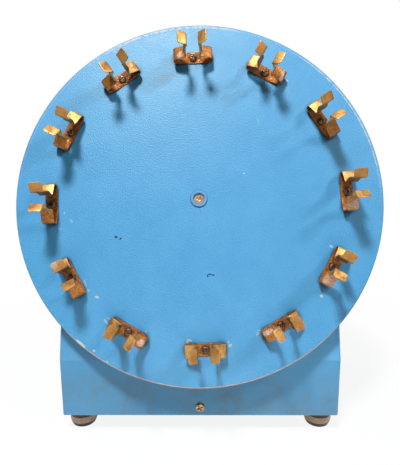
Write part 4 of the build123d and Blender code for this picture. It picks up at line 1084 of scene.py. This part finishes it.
class ROTATOR_OT_case_screws(bpy.types.Operator):
    """Make the housing's screws with cross recesses"""

    bl_idname = "rotator.case_screws"
    bl_label = "Make Case Screws"

    def execute(self, context):
        rng = np.random.default_rng(8)
        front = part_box("case_screws")[0].y + HEAD_STANDS
        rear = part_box("case_screws")[1].y - HEAD_STANDS
        middle = [
            screw_surface((0, front, MIDDLE_SCREW_Z), (0, -1, 0), DISC_RIGHT, *CASE_SCREW, 0.45),
            screw_surface((0, rear, MIDDLE_SCREW_Z), (0, 1, 0), DISC_RIGHT, *CASE_SCREW, 0.7),
        ]
        corners = screws_at(
            [(x, rear, z) for x in CORNER_SCREWS_X for z in CORNER_SCREWS_Z], (0, 1, 0),
            CASE_SCREW, rng,
        )
        inlet = screws_at(
            [(x, rear + INLET_STANDS, INLET_Z) for x in INLET_SCREWS_X], (0, 1, 0), INLET_SCREW,
            rng, 0.5 * MM,
        )
        under = screws_at(
            [(x, y, FOOT_SCREWS_Z) for x in FEET_X for y in FEET_Y], (0, 0, -1), LONG_SCREW, rng
        )
        panel = screws_at(
            [disc_point(x, up, POST_SCREWS_OUT) for x in POSTS_X for up in POSTS_UP], DISC_NORMAL,
            LONG_SCREW, rng,
        )
        for name, screws, material, slot in (
            ("case_screw", middle + corners, brass(), "bronzed_screw"),
            ("inlet_screw", inlet, zinc(), "zinc_steel"),
            ("foot_screw", under, zinc(), "zinc_steel"),
            ("panel_screw", panel, zinc(), "zinc_steel"),
        ):
            make_piece(
                f"{name}_set", join_surfaces(screws), material, BODY_BASE, f"{name}s"
            )
        return {"FINISHED"}


class ROTATOR_OT_fittings(bpy.types.Operator):
    """Finish the feet, shaft, inlet, switch and everything inside the housing"""

    bl_idname = "rotator.fittings"
    bl_label = "Finish Fittings"

    def execute(self, context):
        fittings = context.scene.rotator_fittings
        dress(foot_plastic(fittings), "foot_front_left", "foot_front_right", "foot_rear_left",
              "foot_rear_right")
        dress(moulded_plastic("Pad_Rubber", fittings.rubber, 0.75, 0.6 * MM, 0.3, 0.04),
              "foot_pads")
        dress(moulded_plastic("Black_Plastic", fittings.black, 0.38, 0.4 * MM, 0.12),
              "power_inlet", "switch_body", "terminal_block")
        dress(moulded_plastic("Rocker_Plastic", fittings.black, 0.22, 0.9 * MM, 0.06, 0.01),
              "switch_rocker")
        dress(moulded_plastic("Natural_Nylon", linear(226, 218, 196), 0.4, 0.5 * MM, 0.1),
              "idler_wheel", "coil_bobbin")
        dress(worn_metal("Shaft_End", linear(232, 204, 186), linear(178, 140, 120), 0.34, 700.0),
              "drive_shaft")
        dress(brushed_metal("Ground_Steel", linear(176, 172, 166), 0.3),
              "motor_shaft", "idler_pinion", "motor_pinion", "output_gear", "idler_pin")
        dress(zinc(), "foot_nuts", "gear_posts", "gear_plate_screws", "motor_screws",
              "base_screws", "capacitor_clamp")
        dress(brushed_metal("Plate_Aluminium", linear(200, 202, 204), 0.38),
              "gear_plate_front", "gear_plate_rear", "capacitor")
        dress(worn_metal("Sintered_Bronze", linear(176, 138, 78), linear(112, 82, 44), 0.45),
              "shaft_bush_front", "shaft_bush_rear", "inlet_pins")
        dress(worn_metal("Motor_Steel", linear(168, 168, 164), linear(116, 114, 106), 0.36, 120.0),
              "motor_flange", "motor_can")
        dress(wound_copper(), "coil_winding")
        dress(moulded_plastic("Ferrite", linear(58, 56, 56), 0.5, 0.7 * MM, 0.1), "rotor_magnet")
        return {"FINISHED"}


def area_lamp(name, place, aim, size, power):
    """A rectangular lamp at a place, aimed at a point."""
    light = bpy.data.lights.new(name, "AREA")
    light.shape = "RECTANGLE"
    light.size, light.size_y = size
    light.energy = power
    lamp = link_object(name, light)
    lamp.location = place
    lamp.rotation_euler = (Vector(aim) - Vector(place)).to_track_quat("-Z", "Y").to_euler()
    return light


def floor_finish():
    """White floor that keeps the shadow near the object and fades to plain white further out."""
    material = bpy.data.materials.new("Floor_White")
    material.use_nodes = True
    tree = material.node_tree
    tree.nodes.clear()
    reach = reckon_vector("LENGTH", object_place(tree), output="Value")
    path = add_node(tree, "LightPath").outputs
    seen = Field(path["Is Camera Ray"]).greatest(Field(path["Is Glossy Ray"]))
    seen = seen.greatest(Field(path["Is Transmission Ray"]))
    paper = field(tree, "BsdfDiffuse", "BSDF", {
        "Color": blend_colour(seen, (0.25, 0.25, 0.25), (0.92, 0.92, 0.92)),
    })
    glow = field(tree, "Emission", "Emission", {"Color": (1, 1, 1, 1), "Strength": 1.0})
    share = seen * reach.step(0.16, 0.5, 0.88, 1.0)
    surface = field(tree, "MixShader", 0, {0: share, 1: paper, 2: glow})
    add_node(tree, "OutputMaterial", {"Surface": surface})
    return material


def lay_floor():
    """A plain floor, a square 12 metres wide."""
    half = 6.0
    mesh = bpy.data.meshes.new("floor")
    corners = [(-half, -half, 0), (half, -half, 0), (half, half, 0), (-half, half, 0)]
    mesh.from_pydata(corners, [], [(0, 1, 2, 3)])
    mesh.materials.append(floor_finish())
    link_object("floor", mesh)


def light_room(stage):
    """An even room that is plain white to the camera, and four lamps."""
    scene = bpy.context.scene
    scene.world = scene.world or bpy.data.worlds.new("Room")
    scene.world.use_nodes = True
    tree = scene.world.node_tree
    tree.nodes.clear()
    to_camera = field(tree, "LightPath", "Is Camera Ray")
    room = field(tree, "Background", 0, {
        "Color": (1, 1, 1, 1), "Strength": to_camera.step(0.0, 1.0, stage.world_light, 1.0),
    })
    add_node(tree, "OutputWorld", {"Surface": room})
    disc_middle = (0.0, DISC_CENTRE[1], DISC_CENTRE[2])
    area_lamp("Key", (-0.16, -0.58, 1.10), disc_middle, (0.16, 0.16), stage.key_power)
    area_lamp("Side", (0.83, -0.55, 0.915), disc_middle, (0.2, 0.2), stage.side_power)
    area_lamp("Back", (-0.5, 1.0, 0.75), (0.0, 0.1, 0.15), (0.5, 0.5), stage.back_power)
    low = area_lamp("Low", (0.0, -0.5, 0.06), (0.0, -0.1, 0.045), (0.4, 0.08), stage.low_power)
    low.spread = math.radians(70)


def set_camera(stage):
    """The camera at its eye: leaned about its own axis, tipped down from level, turned aside."""
    camera = bpy.data.cameras.new("Camera")
    camera.lens = stage.focal
    camera.sensor_width = 36.0
    eye = link_object("Camera", camera)
    eye.matrix_world = (
        Matrix.Translation(stage.eye) @ Matrix.Rotation(stage.aside, 4, "Z")
        @ Matrix.Rotation(math.pi / 2 - stage.down, 4, "X") @ Matrix.Rotation(-stage.lean, 4, "Z")
    )
    bpy.context.scene.camera = eye


class ROTATOR_OT_stage(bpy.types.Operator):
    """Set the floor, the room, the lamps and the camera"""

    bl_idname = "rotator.stage"
    bl_label = "Set Stage"

    def execute(self, context):
        stage = context.scene.rotator_stage
        lay_floor()
        light_room(stage)
        set_camera(stage)
        context.scene.view_settings.view_transform = "Standard"
        return {"FINISHED"}


class ROTATOR_PT_panel(bpy.types.Panel):
    """Sizes, colours and pieces of the tube rotator"""

    bl_idname = "ROTATOR_PT_panel"
    bl_label = "Tube Rotator"
    bl_space_type = "VIEW_3D"
    bl_region_type = "UI"
    bl_category = "Rotator"

    def draw(self, context):
        for title, group in GROUPS.items():
            box = self.layout.box()
            box.label(text=title.replace("rotator_", "").title())
            settings = getattr(context.scene, title)
            for name in group.__annotations__:
                box.prop(settings, name)
        for operator in OPERATORS:
            self.layout.operator(operator.bl_idname)


GROUPS = {
    "rotator_paint": RotatorPaint,
    "rotator_clips": RotatorClips,
    "rotator_screws": RotatorScrews,
    "rotator_fittings": RotatorFittings,
    "rotator_stage": RotatorStage,
}
OPERATORS = (
    ROTATOR_OT_enamel,
    ROTATOR_OT_clips,
    ROTATOR_OT_disc_screws,
    ROTATOR_OT_case_screws,
    ROTATOR_OT_fittings,
    ROTATOR_OT_stage,
)
CLASSES = (*GROUPS.values(), *OPERATORS, ROTATOR_PT_panel)


def register():
    """Register the classes and hang the settings on the scene."""
    for each in CLASSES:
        bpy.utils.register_class(each)
    for name, group in GROUPS.items():
        setattr(bpy.types.Scene, name, bpy.props.PointerProperty(type=group))


def unregister():
    """Take the settings and classes away again."""
    for name in GROUPS:
        delattr(bpy.types.Scene, name)
    for each in reversed(CLASSES):
        bpy.utils.unregister_class(each)


def main():
    """Register the classes, then make every piece in order."""
    register()
    for operator in OPERATORS:
        prefix, name = operator.bl_idname.split(".")
        getattr(getattr(bpy.ops, prefix), name)()


if __name__ == "__main__":
    main()
